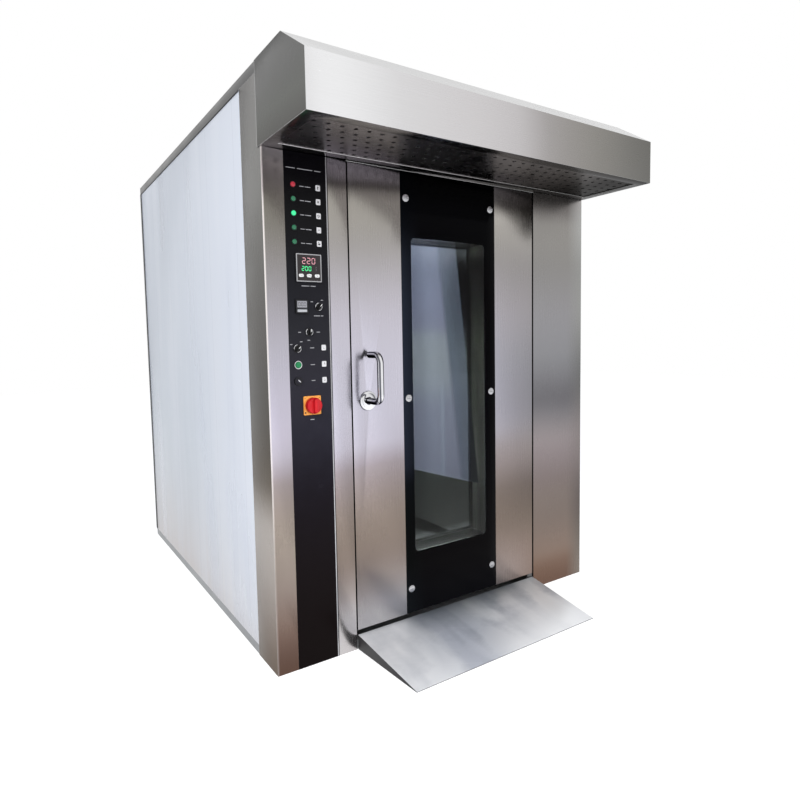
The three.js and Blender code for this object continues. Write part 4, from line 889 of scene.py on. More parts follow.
def box(width, height, corner, count=6):
    # A rectangle with round corners, drawn in by the inset; corners keep count + 1 points.
    def loop(inset):
        halfW, halfH = width / 2 - inset, height / 2 - inset
        r = max(min(corner - inset, halfW, halfH), 0.15)
        points = []
        for sx, sz, start in ((1, 1, 90), (1, -1, 0), (-1, -1, -90), (-1, 1, -180)):
            turn = np.radians(start - np.arange(count + 1) * 90 / count)
            centre = np.array([sx * (halfW - r), sz * (halfH - r)])
            points.append(centre + r * np.stack([np.cos(turn), np.sin(turn)], axis=1))
        return np.concatenate(points)
    return loop


def stepped(x, z, profile, outline, axis=1):
    # Loops that face along an axis: each (inset, depth) of the profile shrinks the outline by
    # that much and stands at that depth.
    return framed([columns(x + outline(inset)[:, 0], z + outline(inset)[:, 1], depth, axis)
                   for inset, depth in profile])


def face(name, x, z, profile, outline, look, **more):
    # A button, plate or ring on the front. The profile runs from its back edge to its middle.
    return solid(name, [stepped(x, z, profile, outline)], look, **more)


def carried(profile, axis, low, high):
    # A closed profile repeated at two places of an axis, to be joined straight across.
    a, b = np.asarray(profile, float).T
    return framed([columns(a, b, place, axis) for place in (low, high)])


def turned(x, y, profile, count=40, axis=2, reach=None):
    # A profile of (radius, height) turned about an axis through a place: a circle at each
    # height, whose radius may also follow the angle through the reach function.
    turn = np.arange(count) * 2 * np.pi / count
    extra = reach(turn) if reach else np.ones(count)
    return framed([columns(x + np.cos(turn) * radius * extra, y + np.sin(turn) * radius * extra, height, axis)
                   for radius, height in profile])


def softened(node, look, width):
    # A copy of a folded sheet with its edges rounded over, standing for the plain one.
    mesh = nodes[node].data.copy()
    edit(mesh, merged(2e-5), lambda bm: bmesh.ops.dissolve_limit(
        bm, angle_limit=math.radians(1.2), verts=bm.verts, edges=bm.edges))
    mesh.name = node + "Soft"
    mesh.materials.clear()
    mesh.polygons.foreach_set("use_smooth", [True] * len(mesh.polygons))
    piece = settle(bpy.data.objects.new(node + "Soft", mesh), look, node)
    bevel = piece.modifiers.new("bentEdge", "BEVEL")
    bevel.width, bevel.segments = width * mm, 2
    bevel.limit_method, bevel.angle_limit = "ANGLE", math.radians(24)
    bevel.harden_normals = True
    return piece


def dress(look, *names):
    # Gives carried-over nodes their finish.
    for name in names:
        nodes[name].data.materials.clear()
        nodes[name].data.materials.append(finish[look])


# cabinet sheets, hood and soffit

bendUser = {  # each softened sheet's finish and the width of its bends, mm
    "corner_post_left": ("postSteel", 0.9), "jamb_strip_left": ("frontSteel", 0.9),
    "column_right": ("columnSteel", 0.9), "hood_shell": ("hoodSteel", 0.9), "top_trim": ("trimSteel", 0.6),
    "side_panel_left": ("filmOverSteel", 0.9), "side_panel_right": ("filmOverSteel", 0.9),
    "front_header": ("hoodSteel", 0.6), "ramp": ("rampPlate", 0.6), "rear_panel": ("zincSheet", 0.6),
    "door_outer_skin": ("frontSteel", 0.8), "door_inner_skin": ("doorBackSteel", 0.6),
}
sheets = {node: softened(node, *bend) for node, bend in bendUser.items()}
print("sheets softened")

soffitUser = {
    "halfWidth": 800, "front": -353.7, "back": -2.6, "under": 1819.3, "thickness": 2,
    "firstRow": -283, "rowPitch": 45, "rows": 6, "pitch": 48, "radius": 7.5, "holeSides": 24,
    "counts": (32, 31),
}


def makeSoffit(user):
    # Each hole is a ring of quads from a circle to its own cell; each cell side is cut into
    # equal steps, so neighbouring cells meet point to point, and plain strips fill the margins.
    pitch, rowPitch, sides = user["pitch"], user["rowPitch"], user["holeSides"]
    perSide = sides // 4
    step = pitch / perSide
    t, half = np.arange(perSide) / perSide - 0.5, np.full(perSide, 0.5)
    square = np.concatenate([np.stack(pair, 1) for pair in ((t, -half), (half, t), (-t, half), (-half, -t))])
    angle = np.arctan2(square[:, 1], square[:, 0])
    hole = np.stack([np.cos(angle), np.sin(angle)], 1) * user["radius"]
    one = np.concatenate([hole, square * (pitch, rowPitch)])
    centres = []
    for row in range(user["rows"]):
        xs = (np.arange(user["counts"][row % 2]) - (user["counts"][row % 2] - 1) / 2) * pitch
        centres.append(np.stack([xs, np.full(len(xs), user["firstRow"] + row * rowPitch)], 1))
    middles = np.concatenate(centres)
    points = [(middles[:, None, :] + one[None]).reshape(-1, 2)]
    faces = [(gridFaces(2, sides)[None] + (np.arange(len(middles)) * len(one))[:, None, None]).reshape(-1, 4)]

    def plainGrid(xs, ys):
        # the sheet between the holes and its edges, as a grid of its own
        faces.append(gridFaces(len(ys), len(xs), False) + sum(map(len, points)))
        points.append(np.stack([part.ravel() for part in np.meshgrid(xs, ys)], 1))

    low = user["firstRow"] - rowPitch / 2
    allX = np.arange(-user["halfWidth"], user["halfWidth"] + step / 2, step)
    plainGrid(allX, [user["front"], low])
    plainGrid(allX, [low + user["rows"] * rowPitch, user["back"]])
    for row in range(user["rows"]):
        ys = low + rowPitch * (row + np.arange(perSide + 1) / perSide)
        margin = np.arange(user["counts"][row % 2] * pitch / 2, user["halfWidth"] + step / 2, step)
        plainGrid(margin, ys)
        plainGrid(-margin[::-1], ys)
    x, y = np.concatenate(points).T
    piece = addPiece("hoodSoffit", framed(columns(x, y, user["under"], 2)), np.concatenate(faces)[:, ::-1],
                     "soffitSteel", False, node="hood_soffit")

    def downward(bm):
        # all faces the same way, for the sheet's thickness to grow upwards
        for side in bm.faces:
            if side.normal.z > 0:
                side.normal_flip()
    edit(piece.data, merged(5e-5), downward)
    wall = piece.modifiers.new("sheetWall", "SOLIDIFY")
    wall.thickness = user["thickness"] * mm
    wall.offset = -1


makeSoffit(soffitUser)
print("soffit perforated")

dress("zincSheet", "base_frame", "roof_deck", "duct_wall", "isolator_plate", "flue_pipe")
dress("millSteel", "floor_plate", "hinge_pin_top", "hinge_pin_bottom", "latch_tongue", "rack_carrier")
dress("chamberSteel", "chamber_liner", "turntable", "fan_impeller", "damper_blade")
dress("mineralWool", "insulation", "door_insulation")
dress("motorPaint", "fan_motor", "gear_motor")
dress("darkMetal", "heating_elements")
dress("rubberBlack", "door_gasket")
dress("innerGlass", "glass_inner")
dress("panelBlack", "control_panel")
dress("screenDark", "temperature_controller")
dress("plasticDark", "timer")

# door, glass and handle

doorUser = {
    "pane": (-247, 237, 75, 1811), "window": (-200, 177, 322, 1564),  # left, right, bottom, top
    "paneCorner": 2, "windowCorner": 18, "thick": 6, "gap": 0.2, "edge": 0.9,
}


def makeGlassPieces(user):
    # Band: rings from the pane's rounded edge in to the window's round-cornered edge, carried
    # through the pane's thickness; the window is a plug of the same outline, drawn in a little.
    places = []
    for key in ("pane", "window"):
        left, right, bottom, top = user[key]
        outline = box(right - left, top - bottom, user[key + "Corner"], 8)
        places.append(((left + right) / 2, (bottom + top) / 2, outline))
    (paneX, paneZ, pane), (x, z, window) = places
    edge, thick, gap = user["edge"], user["thick"], user["gap"]
    outer = stepped(paneX, paneZ, [(0, thick), (0, edge), (edge * 0.3, edge * 0.3), (edge, 0)], pane)
    inner = stepped(x, z, [(-edge * 0.4, 0), (0, edge * 0.4), (0, thick)], window)
    solid("glassBand", [np.concatenate([outer, inner])], "glassBorder", True, node="glass_outer")
    face("windowPane", x, z, [(gap, thick), (gap, edge * 0.4), (gap + edge * 0.4, 0)], window, "windowGlass",
         node="glass_outer")


makeGlassPieces(doorUser)

screwUser = {"xs": (-221.7, 211.7), "zs": (173, 943, 1713), "radius": 15, "proud": 5.3, "slot": 3.2,
             "slotDepth": 2.6, "count": 72, "rings": 22, "rim": -0.3}


def slottedCap(name, x, z, user, node):
    # A dome of revolution, the depth following a quarter of an ellipse towards the rim, with
    # points near the middle line pressed in to cut the driver's slot.
    radius, rim, proud = user["radius"], user["rim"], user["proud"]
    radii = np.linspace(0, 1, user["rings"])[1:] * (radius - 0.6)
    turn = np.arange(user["count"]) * 2 * np.pi / user["count"]
    across, upward = (wave(turn)[None, :] * radii[:, None] for wave in (np.cos, np.sin))
    crown = rim - (proud + rim) * np.sqrt(np.clip(1 - (radii / radius) ** 2.6, 0, 1))
    depth = np.repeat(crown[:, None], user["count"], axis=1)
    inSlot = 1 / (1 + np.exp((np.abs(upward) - user["slot"] / 2) * 9))
    pressed = depth + np.clip(user["slotDepth"] - proud - depth, 0, None) * inSlot
    depth = np.where(np.abs(across) < radius - 3, pressed, depth)
    loops = framed(np.stack([x + across, depth, z + upward], axis=-1))[::-1]
    outer = framed(columns(x + np.cos(turn) * radius, z + np.sin(turn) * radius, rim, 1))
    solid(name, [np.concatenate([outer[None], loops])], "satinChrome", crease=50, node=node)


for i, (x, z) in enumerate([(x, z) for x in screwUser["xs"] for z in screwUser["zs"]]):
    slottedCap(f"screwCap{i + 1}", x, z, screwUser, f"glass_screw_{i + 1}")
print("glass and screw caps made")

handleUser = {"x": -408, "low": 947, "high": 1119, "reach": 91, "tube": 12.25, "bend": 30, "endY": -9,
              "tip": 9, "steps": 14, "sides": 40, "foot": (-0.6, -12, -30), "upperLeg": -40, "roseSize": 36,
              "rose": [(0, -0.3), (0, -3.6), (0.8, -4.6), (5, -5.2), (9, -6.4), (12, -8), (21, -8),
                       (21.8, -7.4), (22.6, -0.3)]}


def bentBar(user):
    # The middle line: straight legs joined by quarter circles in the upright plane.
    bend, reach, low, high = (user[k] for k in ("bend", "reach", "low", "high"))
    quarter = np.linspace(0, np.pi / 2, user["steps"])
    lower = np.stack([-reach + bend - bend * np.sin(quarter), low + bend - bend * np.cos(quarter)], 1)
    upper = np.stack([-reach + bend - bend * np.cos(quarter), high - bend + bend * np.sin(quarter)], 1)
    middle = [[-reach, low + bend + (high - low - 2 * bend) * t] for t in (0.25, 0.5, 0.75)]
    finishLine = [[user["upperLeg"], high], [user["endY"] - user["tip"], high]]
    return np.concatenate([[[y, low] for y in user["foot"]], lower, middle, upper, finishLine])


def tube(line, radius, user):
    # Each ring stands square to the line: its two axes are the sideways one and the line's normal.
    ahead = np.gradient(line, axis=0)
    ahead /= np.linalg.norm(ahead, axis=1)[:, None]
    turn = np.arange(user["sides"]) * 2 * np.pi / user["sides"]
    radius = np.broadcast_to(np.asarray(radius, float), (len(line),))[:, None]
    out, side = radius * np.cos(turn), radius * np.sin(turn)
    y, z = line[:, 0:1] - ahead[:, 1:] * out, line[:, 1:] + ahead[:, :1] * out
    return framed(np.stack([user["x"] + side, y, z], axis=-1))


def makeHandle(user):
    # A bent bar, its tip, and the rose that its lower leg turns in.
    solid("handleBar", [tube(bentBar(user), user["tube"], user)], "chromePlate", node="door_handle")
    # The tip: a short dark plug, painted shade for the shadow at the bar's free end, whose radius
    # falls away as a quarter of a circle.
    start, inner = user["endY"] - user["tip"] - 1, user["tube"] - 0.4
    t = np.linspace(0, 1, 12)[1:]
    ys = start + (user["endY"] - start) * np.concatenate([[0, 0.08], 0.08 + 0.92 * t])
    radii = np.concatenate([[user["tube"] - 0.8, inner], inner * np.sqrt(np.clip(1 - t ** 3 * 0.93, 0, 1))])
    tip = np.stack([ys, np.full(len(ys), user["high"])], 1)
    solid("handleShadeTip", [tube(tip, radii, user)], "plasticBlack", node="door_handle")
    face("handleRose", user["x"], user["low"], user["rose"], circle(user["roseSize"], 72), "chromePlate",
         ring=True, node="handle_rose")


makeHandle(handleUser)
print("handle made")

# control panel: lamps, displays, switches and their marks


def bar(x, z, width, height, corner, turn=0.0):
    # A round-cornered rectangle turned about its middle.
    a, b = box(width, height, corner, 3)(0).T
    c, s = math.cos(math.radians(turn)), math.sin(math.radians(turn))
    return np.stack([x + a * c - b * s, z + a * s + b * c], 1)


def arc(x, z, radius, width, start, end, count=14):
    # A band of a circle, from its outer edge round to its inner one.
    turn = np.radians(np.linspace(start, end, count))
    ring = np.stack([np.cos(turn), np.sin(turn)], 1)
    return np.concatenate([ring * radius, ring[::-1] * (radius - width)]) + (x, z)


def marks(name, shapes, front, back, look, **carrier):
    # Many small plates as one piece: each outline stands at its back, at its front edge and,
    # drawn a little inwards, on its face.
    stacks = []
    for shape in shapes:
        middle = shape.mean(axis=0)
        inner = middle + (shape - middle) * (1 - 0.2 / max(np.abs(shape - middle).max(), 0.5))
        stacks.append(framed([columns(*part.T, y, 1) for part, y in
                              ((shape, back), (shape, front + 0.1), (inner, front))]))
    solid(name, stacks, look, crease=None, smooth=False, **carrier)


lampUser = {
    "x": -688.7, "zs": (1706, 1658, 1610, 1562, 1514), "radius": 8.6, "ring": 11,
    "looks": ("lensRed", "lensGreen", "lensLit", "lensGreen", "lensGreen"),
    "lens": [(0.2, -0.3), (0, -2.2), (0.1, -3.9), (0.7, -5.0), (1.9, -6.0), (3.9, -6.7), (6.2, -7.0),
             (8.4, -7.05)],
    "bezel": [(0, -0.3), (0, -1.5), (0.3, -2.0), (0.9, -2.3), (1.6, -2.2), (2.1, -1.8), (2.2, -0.3)],
}
for i, (z, look) in enumerate(zip(lampUser["zs"], lampUser["looks"])):
    x, node = lampUser["x"], f"indicator_{i + 1}"
    face(f"lampLens{i + 1}", x, z, lampUser["lens"], circle(lampUser["radius"]), look, node=node)
    face(f"lampRing{i + 1}", x, z, lampUser["bezel"], circle(lampUser["ring"]), "darkMetal", ring=True,
         node=node)

segmentPlaces = {"a": (0, 1, 0), "b": (0.5, 0.5, 1), "c": (0.5, -0.5, 1), "d": (0, -1, 0),
                 "e": (-0.5, -0.5, 1), "f": (-0.5, 0.5, 1), "g": (0, 0, 0)}  # across, up, whether upright
digitSegments = {"0": "abcdef", "2": "abged"}


def digits(text, x, z, width, height, pitch, stroke):
    # Seven bars a digit: three across, four upright, each stopping a little short of its ends.
    shapes = []
    for i, letter in enumerate(text):
        left = x + (i - (len(text) - 1) / 2) * pitch
        for segment in digitSegments[letter]:
            sx, sz, up = segmentPlaces[segment]
            size = (stroke, height / 2 - stroke * 0.6) if up else (width - stroke * 0.6, stroke)
            shapes.append(bar(left + sx * width, z + sz * height / 2, *size, stroke * 0.45))
    return shapes


controllerUser = {
    "x": -639.5, "z": 1427, "size": 96.6, "corner": 2.5, "face": (-8.35, -7.9), "targetZ": 1424,
    "keyZ": 1400, "keySize": (18, 11, 4.2),
    "rim": [(0, -0.3), (0, -7.6), (0.5, -8.4), (1.2, -8.8), (3.4, -8.8), (3.9, -8.5), (4.2, -8.02),
            (4.2, -0.3)],
    "key": [(0, -4.0), (0, -8.9), (0.35, -9.3), (1.2, -9.5), (5.3, -9.5)],
    "keys": [  # place along x, and the strokes on it: offset, length, turn
        (-669.8, [(0, 6, 0)]), (-639.5, [(-1.3, 4.2, 55), (1.3, 4.2, -55)]),
        (-609.2, [(-1.3, 4.2, -55), (1.3, 4.2, 55)])],
}


def makeController(user):
    # A rim, two rows of digits, three dots, and three keys with their signs.
    x, targetZ, keyZ, plate = user["x"], user["targetZ"], user["keyZ"], user["face"]
    face("controllerRim", x, user["z"], user["rim"], box(user["size"], user["size"], user["corner"]),
         "satinChrome", ring=True)
    marks("controllerReading", digits("220", x - 1, 1450.5, 11, 19, 18, 2.3), *plate, "digitRed")
    marks("controllerTarget", digits("200", x - 10, targetZ, 8, 14.5, 13, 2.1), *plate, "digitGreen")
    marks("controllerDots", [bar(x + 27, targetZ + 6 * i, 2, 2, 0.9) for i in (-1, 0, 1)], -8.3, -7.9,
          "screenGrey")
    for i, (keyX, strokes) in enumerate(user["keys"]):
        node = f"controller_key_{i + 1}"
        face(f"controllerKey{i + 1}", keyX, keyZ, user["key"], box(*user["keySize"]), "plasticWhite",
             node=node)
        signs = [bar(keyX + off, keyZ, long, 1.2, 0.5, turn) for off, long, turn in strokes]
        marks(f"controllerKeyMark{i + 1}", signs, -9.58, -9.3, "plasticDark", body=node)


makeController(controllerUser)

timerUser = {
    "x": -669, "z": 1294, "size": 48.6, "screenZ": 1301.5, "keyZ": 1279,
    "rim": [(0, -0.3), (0, -5.6), (0.5, -6.4), (1.0, -6.7), (2.2, -6.7), (2.7, -6.4), (2.9, -6.02),
            (2.9, -0.3)],
    "screen": [(0, -5.8), (0, -6.3), (0.4, -6.6), (8, -6.6)],
    "key": [(0, -4.0), (0, -6.9), (0.4, -7.3), (1.1, -7.5), (4, -7.5)],
}


def makeTimer(user):
    # A rim, a grey screen with three digits, and one key.
    x, screenZ = user["x"], user["screenZ"]
    face("timerRim", x, user["z"], user["rim"], box(user["size"], user["size"], 2.2), "plasticBlack",
         ring=True)
    face("timerScreen", x, screenZ, user["screen"], box(36, 22, 1.6), "screenGrey")
    marks("timerDigits", digits("000", x, screenZ, 6.4, 12.5, 10.6, 1.7), -6.9, -6.5, "timerDigit")
    face("timerKeyCap", x, user["keyZ"], user["key"], box(36, 9, 2), "plasticGrey", node="timer_key")


makeTimer(timerUser)

selectorUser = {
    "places": ((-604, 1294, -42), (-643, 1205.5, -8), (-690, 1148.8, -42)),  # x, z, turn
    "collarSize": 14.6, "bodySize": 10.9,
    "collar": [(0, -0.2), (0, -3.6), (0.4, -4.1), (1.2, -4.4), (2.6, -4.4), (3.2, -4.1), (3.3, -0.2)],
    "body": [(0, 4), (0, -7.2), (0.5, -8.2), (1.4, -8.7), (6, -8.9), (10.7, -8.9)],
    "grip": [(0, -8.0), (0, -15.6), (0.5, -16.5), (1.4, -16.9), (2.6, -17.0)], "gripSize": (6.4, 20, 2.6),
}


def makeSelector(number, x, z, turn, user):
    # A collar, a round body, a grip that narrows towards its face, its white line, and two
    # bright arcs on the collar that follow the grip's turn: painted highlights of the grip's lit sides.
    node = f"selector_{number}"
    face(f"selectorCollar{number}", x, z, user["collar"], circle(user["collarSize"]), "darkMetal", ring=True)
    face(f"selectorBody{number}", x, z, user["body"], circle(user["bodySize"]), "plasticBlack", node=node)
    wide, long, corner = user["gripSize"]
    face(f"selectorGrip{number}", x, z, user["grip"], lambda inset: bar(
        0, 0, max(wide - 2 * inset, 0.4), long - 2 * inset, max(corner - inset, 0.2), turn),
         "plasticBlack", node=node)
    c, s = -math.sin(math.radians(turn)), math.cos(math.radians(turn))
    line = bar(x + c * 5, z + s * 5, 2.6, 10, 1.2, turn)
    marks(f"selectorLine{number}", [line], -17.2, -16.7, "plasticWhite", body=node)
    arcs = [arc(x, z, 13.6, 1.6, turn + start, turn + end) for start, end in ((132, 228), (-52, 52))]
    marks(f"selectorHighlightArc{number}", arcs, -4.9, -4.2, "legendWhite")


for i, place in enumerate(selectorUser["places"]):
    makeSelector(i + 1, *place, selectorUser)

buttonUser = {
    "start": (-689, 1092.1), "buzzer": (-690, 1035.4), "count": 56,
    "ring": [(0, -0.2), (0, -3.8), (0.4, -4.6), (1.1, -4.9), (2.2, -4.9), (2.9, -4.5), (3.2, -3.4),
             (3.2, -0.2)],
    "cap": [(0, 4), (0, -6.6), (0.4, -7.4), (1.2, -7.8), (2.6, -7.9), (4.2, -7.6), (7, -7.4), (10.6, -7.3)],
    "dome": [(0, -0.2), (0, -4.9), (0.6, -5.8), (1.8, -6.1), (4.6, -6.1), (5.4, -5.4), (9, -5.2),
             (14.2, -5.2)],
    "slots": [(-688.5, 1037, 3, 8.5, 1.2, 38), (-684.6, 1034, 2.4, 6.5, 1, 38)],
}


def makeButtons(user):
    # The start button in its bright ring, and the buzzer with its two slots.
    count = user["count"]
    face("startRing", *user["start"], user["ring"], circle(14.6, count), "chromePlate", ring=True)
    face("startCap", *user["start"], user["cap"], circle(10.9, count), "buttonGreen", node="start_button")
    face("buzzerCap", *user["buzzer"], user["dome"], circle(14.7, count), "plasticBlack")
    marks("buzzerSlots", [bar(*slot) for slot in user["slots"]], -6.5, -5.8, "legendWhite")


makeButtons(buttonUser)

isolatorUser = {
    "x": -639.5, "z": 947.4, "size": 67, "radius": 28.5,
    "plate": [(0, -0.3), (0, -3.5), (0.3, -4.0), (0.9, -4.3), (33, -4.3)],
    "disc": [(1.2, -4.6), (0, -5.4), (0, -22), (0.5, -23.8), (1.8, -25.1), (4, -25.7), (8, -25.8),
             (28, -25.8)],
    "grip": [(-2.4, -24.9), (-1.2, -26.2), (0, -28.5), (0.3, -36), (0.9, -37.6), (2.0, -38.4), (3.4, -38.6)],
    "dots": [(-28, -25, 6, 6, 2.8), (28, 27, 4, 2, 0.8), (-28, 27, 4, 2, 0.8)],
}


def makeIsolator(user):
    # A plate with dots in its corners, a disc, and a grip across it.
    x, z = user["x"], user["z"]
    face("isolatorPlateFace", x, z, user["plate"], box(user["size"], user["size"], 4), "plateYellow",
         node="isolator_plate")
    marks("isolatorDots", [bar(x + a, z + b, *size) for a, b, *size in user["dots"]], -4.5, -4.1,
          "plasticDark")
    face("isolatorDisc", x, z, user["disc"], circle(user["radius"], 72), "knobRed", node="isolator_knob")
    face("isolatorGrip", x, z, user["grip"], box(14.5, 50, 4.5), "knobRed", node="isolator_knob")


makeIsolator(isolatorUser)

legendUser = {
    "places": [(-594, z) for z in (1704, 1656.5, 1608.5, 1560, 1513)]
              + [(-587.5, z) for z in (1150, 1092, 1035)],
    "size": (17.5, 20, 3),
    "signs": [  # bars, each with its offsets, size, corner and turn
        [(0, 0, 3.2, 11, 1.4), (0, 3, 6, 1.6, 0.6)],
        [(-2.6, 0, 1.6, 9, 0.6), (2.6, 0, 1.6, 9, 0.6), (0, 0, 2, 5, 0.8)],
        [(0, 0, 2.2, 2.2, 1)],
        [(-1.9, 0.5, 6, 1.3, 0.5, -38), (1.9, 0.5, 6, 1.3, 0.5, 38)],
        [(0, -1.5, 8, 5, 1), (-2, 4, 4, 2.4, 0.8)],
        [(0, -2, 4.4, 1.8, 0.8)],
        [(1, 3, 4.4, 2, 0.8, 40), (2.4, 0, 1.5, 4, 0.6)],
        []],
    "arcs": {2: [(4.8, 1.6, 30, 190), (4.8, 1.6, 210, 370)], 7: [(3.6, 1.0, 0, 170), (3.6, 1.0, 180, 350)]},
}


def makeLegends(user):
    # Plain plates with generic signs of bars and arcs.
    marks("legendPlates", [bar(*place, *user["size"]) for place in user["places"]], -0.6, 0.1, "legendWhite")
    signs = []
    for i, (x, z) in enumerate(user["places"]):
        signs += [arc(x, z, *shape) for shape in user["arcs"].get(i, ())]
        signs += [bar(x + a, z + b, *shape) for a, b, *shape in user["signs"][i]]
    marks("legendSigns", signs, -0.75, -0.5, "plasticDark")


makeLegends(legendUser)

ruleUser = {
    "height": 2.4, "corner": 1.1,
    "rows": [(-647, 1761, (34, 58, 24), 7), *[(-643, z - 3, (16, 22), 3.5) for z in lampUser["zs"]],
             (-639.5, 1365, (30, 20), 4), (-604, 1262, (24, 10), 3)],  # x, z, widths, space between them
    "single": [(-639.5, 897, 16), (-679, 1205, 11), (-607, 1205, 13), (-645, 1177, 10), (-712, 1163, 9),
               (-674, 1172, 10), (-633, 1150, 16), (-632, 1091, 17), (-631, 1035, 15), (-629, 1311, 10),
               (-590, 1317, 9)],  # x, z, width
}


def makeRules(user):
    # Short plain strokes in the places of words.
    rules = []
    for x, z, widths, space in user["rows"] + [(x, z, (width,), 0) for x, z, width in user["single"]]:
        left = x - (sum(widths) + space * (len(widths) - 1)) / 2
        for width in widths:
            rules.append(bar(left + width / 2, z, width, user["height"], user["corner"]))
            left += width + space
    marks("panelRules", rules, -0.35, 0.1, "ruleGrey")


makeRules(ruleUser)
panelTrim = [(-563.0, 0.0), (-562.6, -1.1), (-561.4, -1.8), (-560.2, -1.8), (-558.9, -1.2), (-558.4, 0.0)]
solid("panelTrim", [carried(panelTrim, 2, 0.5, 1816.5)], "satinChrome")
print("control panel dressed")

# edge trims, rear cover, roof machinery and chamber fittings

edgeTrimUser = {"side": 800.1, "proud": 1.9, "front": 1889, "rear": 1919.8, "low": 39, "high": 2057.4,
                "beadFront": 183, "beadLow": 2051.5, "beadHigh": 2057.8, "beadProud": 1.0,
                "lipLeft": -479.4, "lipRight": 469.4, "lipLow": 1813.4, "lipHigh": 1819.1, "lipProud": 2.4}


def makeEdgeTrims(user):
    # Folded strips on the rear corners and a dark bead under the top trim, on both sides.
    side, front, rear = user["side"], user["front"], user["rear"]
    out, bead = side + user["proud"], side + user["beadProud"]
    low, high = user["beadLow"], user["beadHigh"]
    strip = [(side, front), (out - 0.5, front + 0.2), (out, front + 1.2), (out, rear - 1.4),
             (out - 0.5, rear - 0.3), (side, rear)]
    line = [(side, low), (bead - user["beadProud"] * 0.2, low + 0.4), (bead, low + 2), (bead, high - 1),
            (side, high)]
    for name, sign in (("Left", -1), ("Right", 1)):
        solid("rearEdge" + name, [carried([(x * sign, y) for x, y in strip], 2, user["low"], user["high"])],
              "darkMetal", slot="dark_steel")
        mirrored = [(x * sign, z) for x, z in line]
        solid("trimBead" + name, [carried(mirrored, 1, user["beadFront"], front - 0.4)], "rubberBlack")
    # A strip on the header, down over most of the gap above the door.
    proud, low, high = user["lipProud"], user["lipLow"], user["lipHigh"]
    lip = [(-0.1, low), (0.5 - proud, low), (-proud, low + 0.5), (-proud, high - 0.5), (0.5 - proud, high),
           (-0.1, high)]
    solid("headerLip", [carried(lip, 0, user["lipLeft"], user["lipRight"])], "hoodSteel")


makeEdgeTrims(edgeTrimUser)

panHead = [(1, 0), (1, 0.35), (0.93, 0.7), (0.75, 0.93), (0.45, 1.0), (0.34, 1.0), (0.26, 0.55)]


def screw(x, z, y, radius, height):
    # A pan head on an upright face: circles that shrink over a rounded crown, with a
    # hollow for the driver in its middle.
    return turned(x, z, [(radius * r, y + height * h) for r, h in panHead], 20, 1)


rearUser = {"face": 1918.8, "proud": 1.15, "joints": (-267, 267), "jointWidth": 38, "jointSpan": (46, 2050),
            "screwPitch": 196,
            "cover": (-5, 1560, 430, 380), "louvres": 9, "louvreReach": 110, "louvreHalf": 150, "inset": 14}


def makeRear(user):
    # The rear sheet set back a little, so that its joint strips, cover and screws end where
    # the cabinet does.
    mesh = sheets["rear_panel"].data
    places = np.empty(len(mesh.vertices) * 3)
    mesh.vertices.foreach_get("co", places)
    places[1::3] = np.minimum(places[1::3], frontY + user["face"] * mm)
    mesh.vertices.foreach_set("co", places)
    mesh.update()
    base, half = user["face"], user["jointWidth"] / 2
    face0, out = base + 0.02, base + 0.6
    strip = [(-half, face0), (half, face0), (half - 0.5, out), (0.5 - half, out)]
    solid("rearJoints", [carried([(x + side, y) for side, y in strip], 2, *user["jointSpan"])
                         for x in user["joints"]], "trimSteel")
    cx, cz, w, h = user["cover"]
    face("rearCover", cx, cz, [(0, face0), (0, out - 0.2), (0.5, out + 0.1), (40, out + 0.1)], box(w, h, 10),
         "trimSteel")
    # Each louvre's section: a lip that rises towards its lower edge and turns back.
    heights = [cz - user["louvreReach"] + i * 2 * user["louvreReach"] / (user["louvres"] - 1)
               for i in range(user["louvres"])]
    solid("rearLouvres", [carried([(out + 0.08, z + 9), (out + 0.25, z + 3), (base + user["proud"], z - 5),
                                   (out + 0.08, z - 6)], 0, cx - user["louvreHalf"], cx + user["louvreHalf"])
                          for z in heights], "darkMetal", slot="galvanised")
    upright = [(x, z) for x in (-782, -267, 267, 782) for z in np.arange(70, 2040, user["screwPitch"])]
    across = [(x, z) for x in np.linspace(-660, 660, 6) for z in (70, 2030)]
    corners = [(cx + sx * (w / 2 - user["inset"]), cz + sz * (h / 2 - user["inset"])) for sx in (-1, 1)
               for sz in (-1, 1)]
    solid("rearScrews", [screw(x, z, base, 5, 1.1) for x, z in upright + across]
          + [screw(x, z, out + 0.1, 4, 0.35) for x, z in corners], "satinChrome")


makeRear(rearUser)
print("edges and rear dressed")

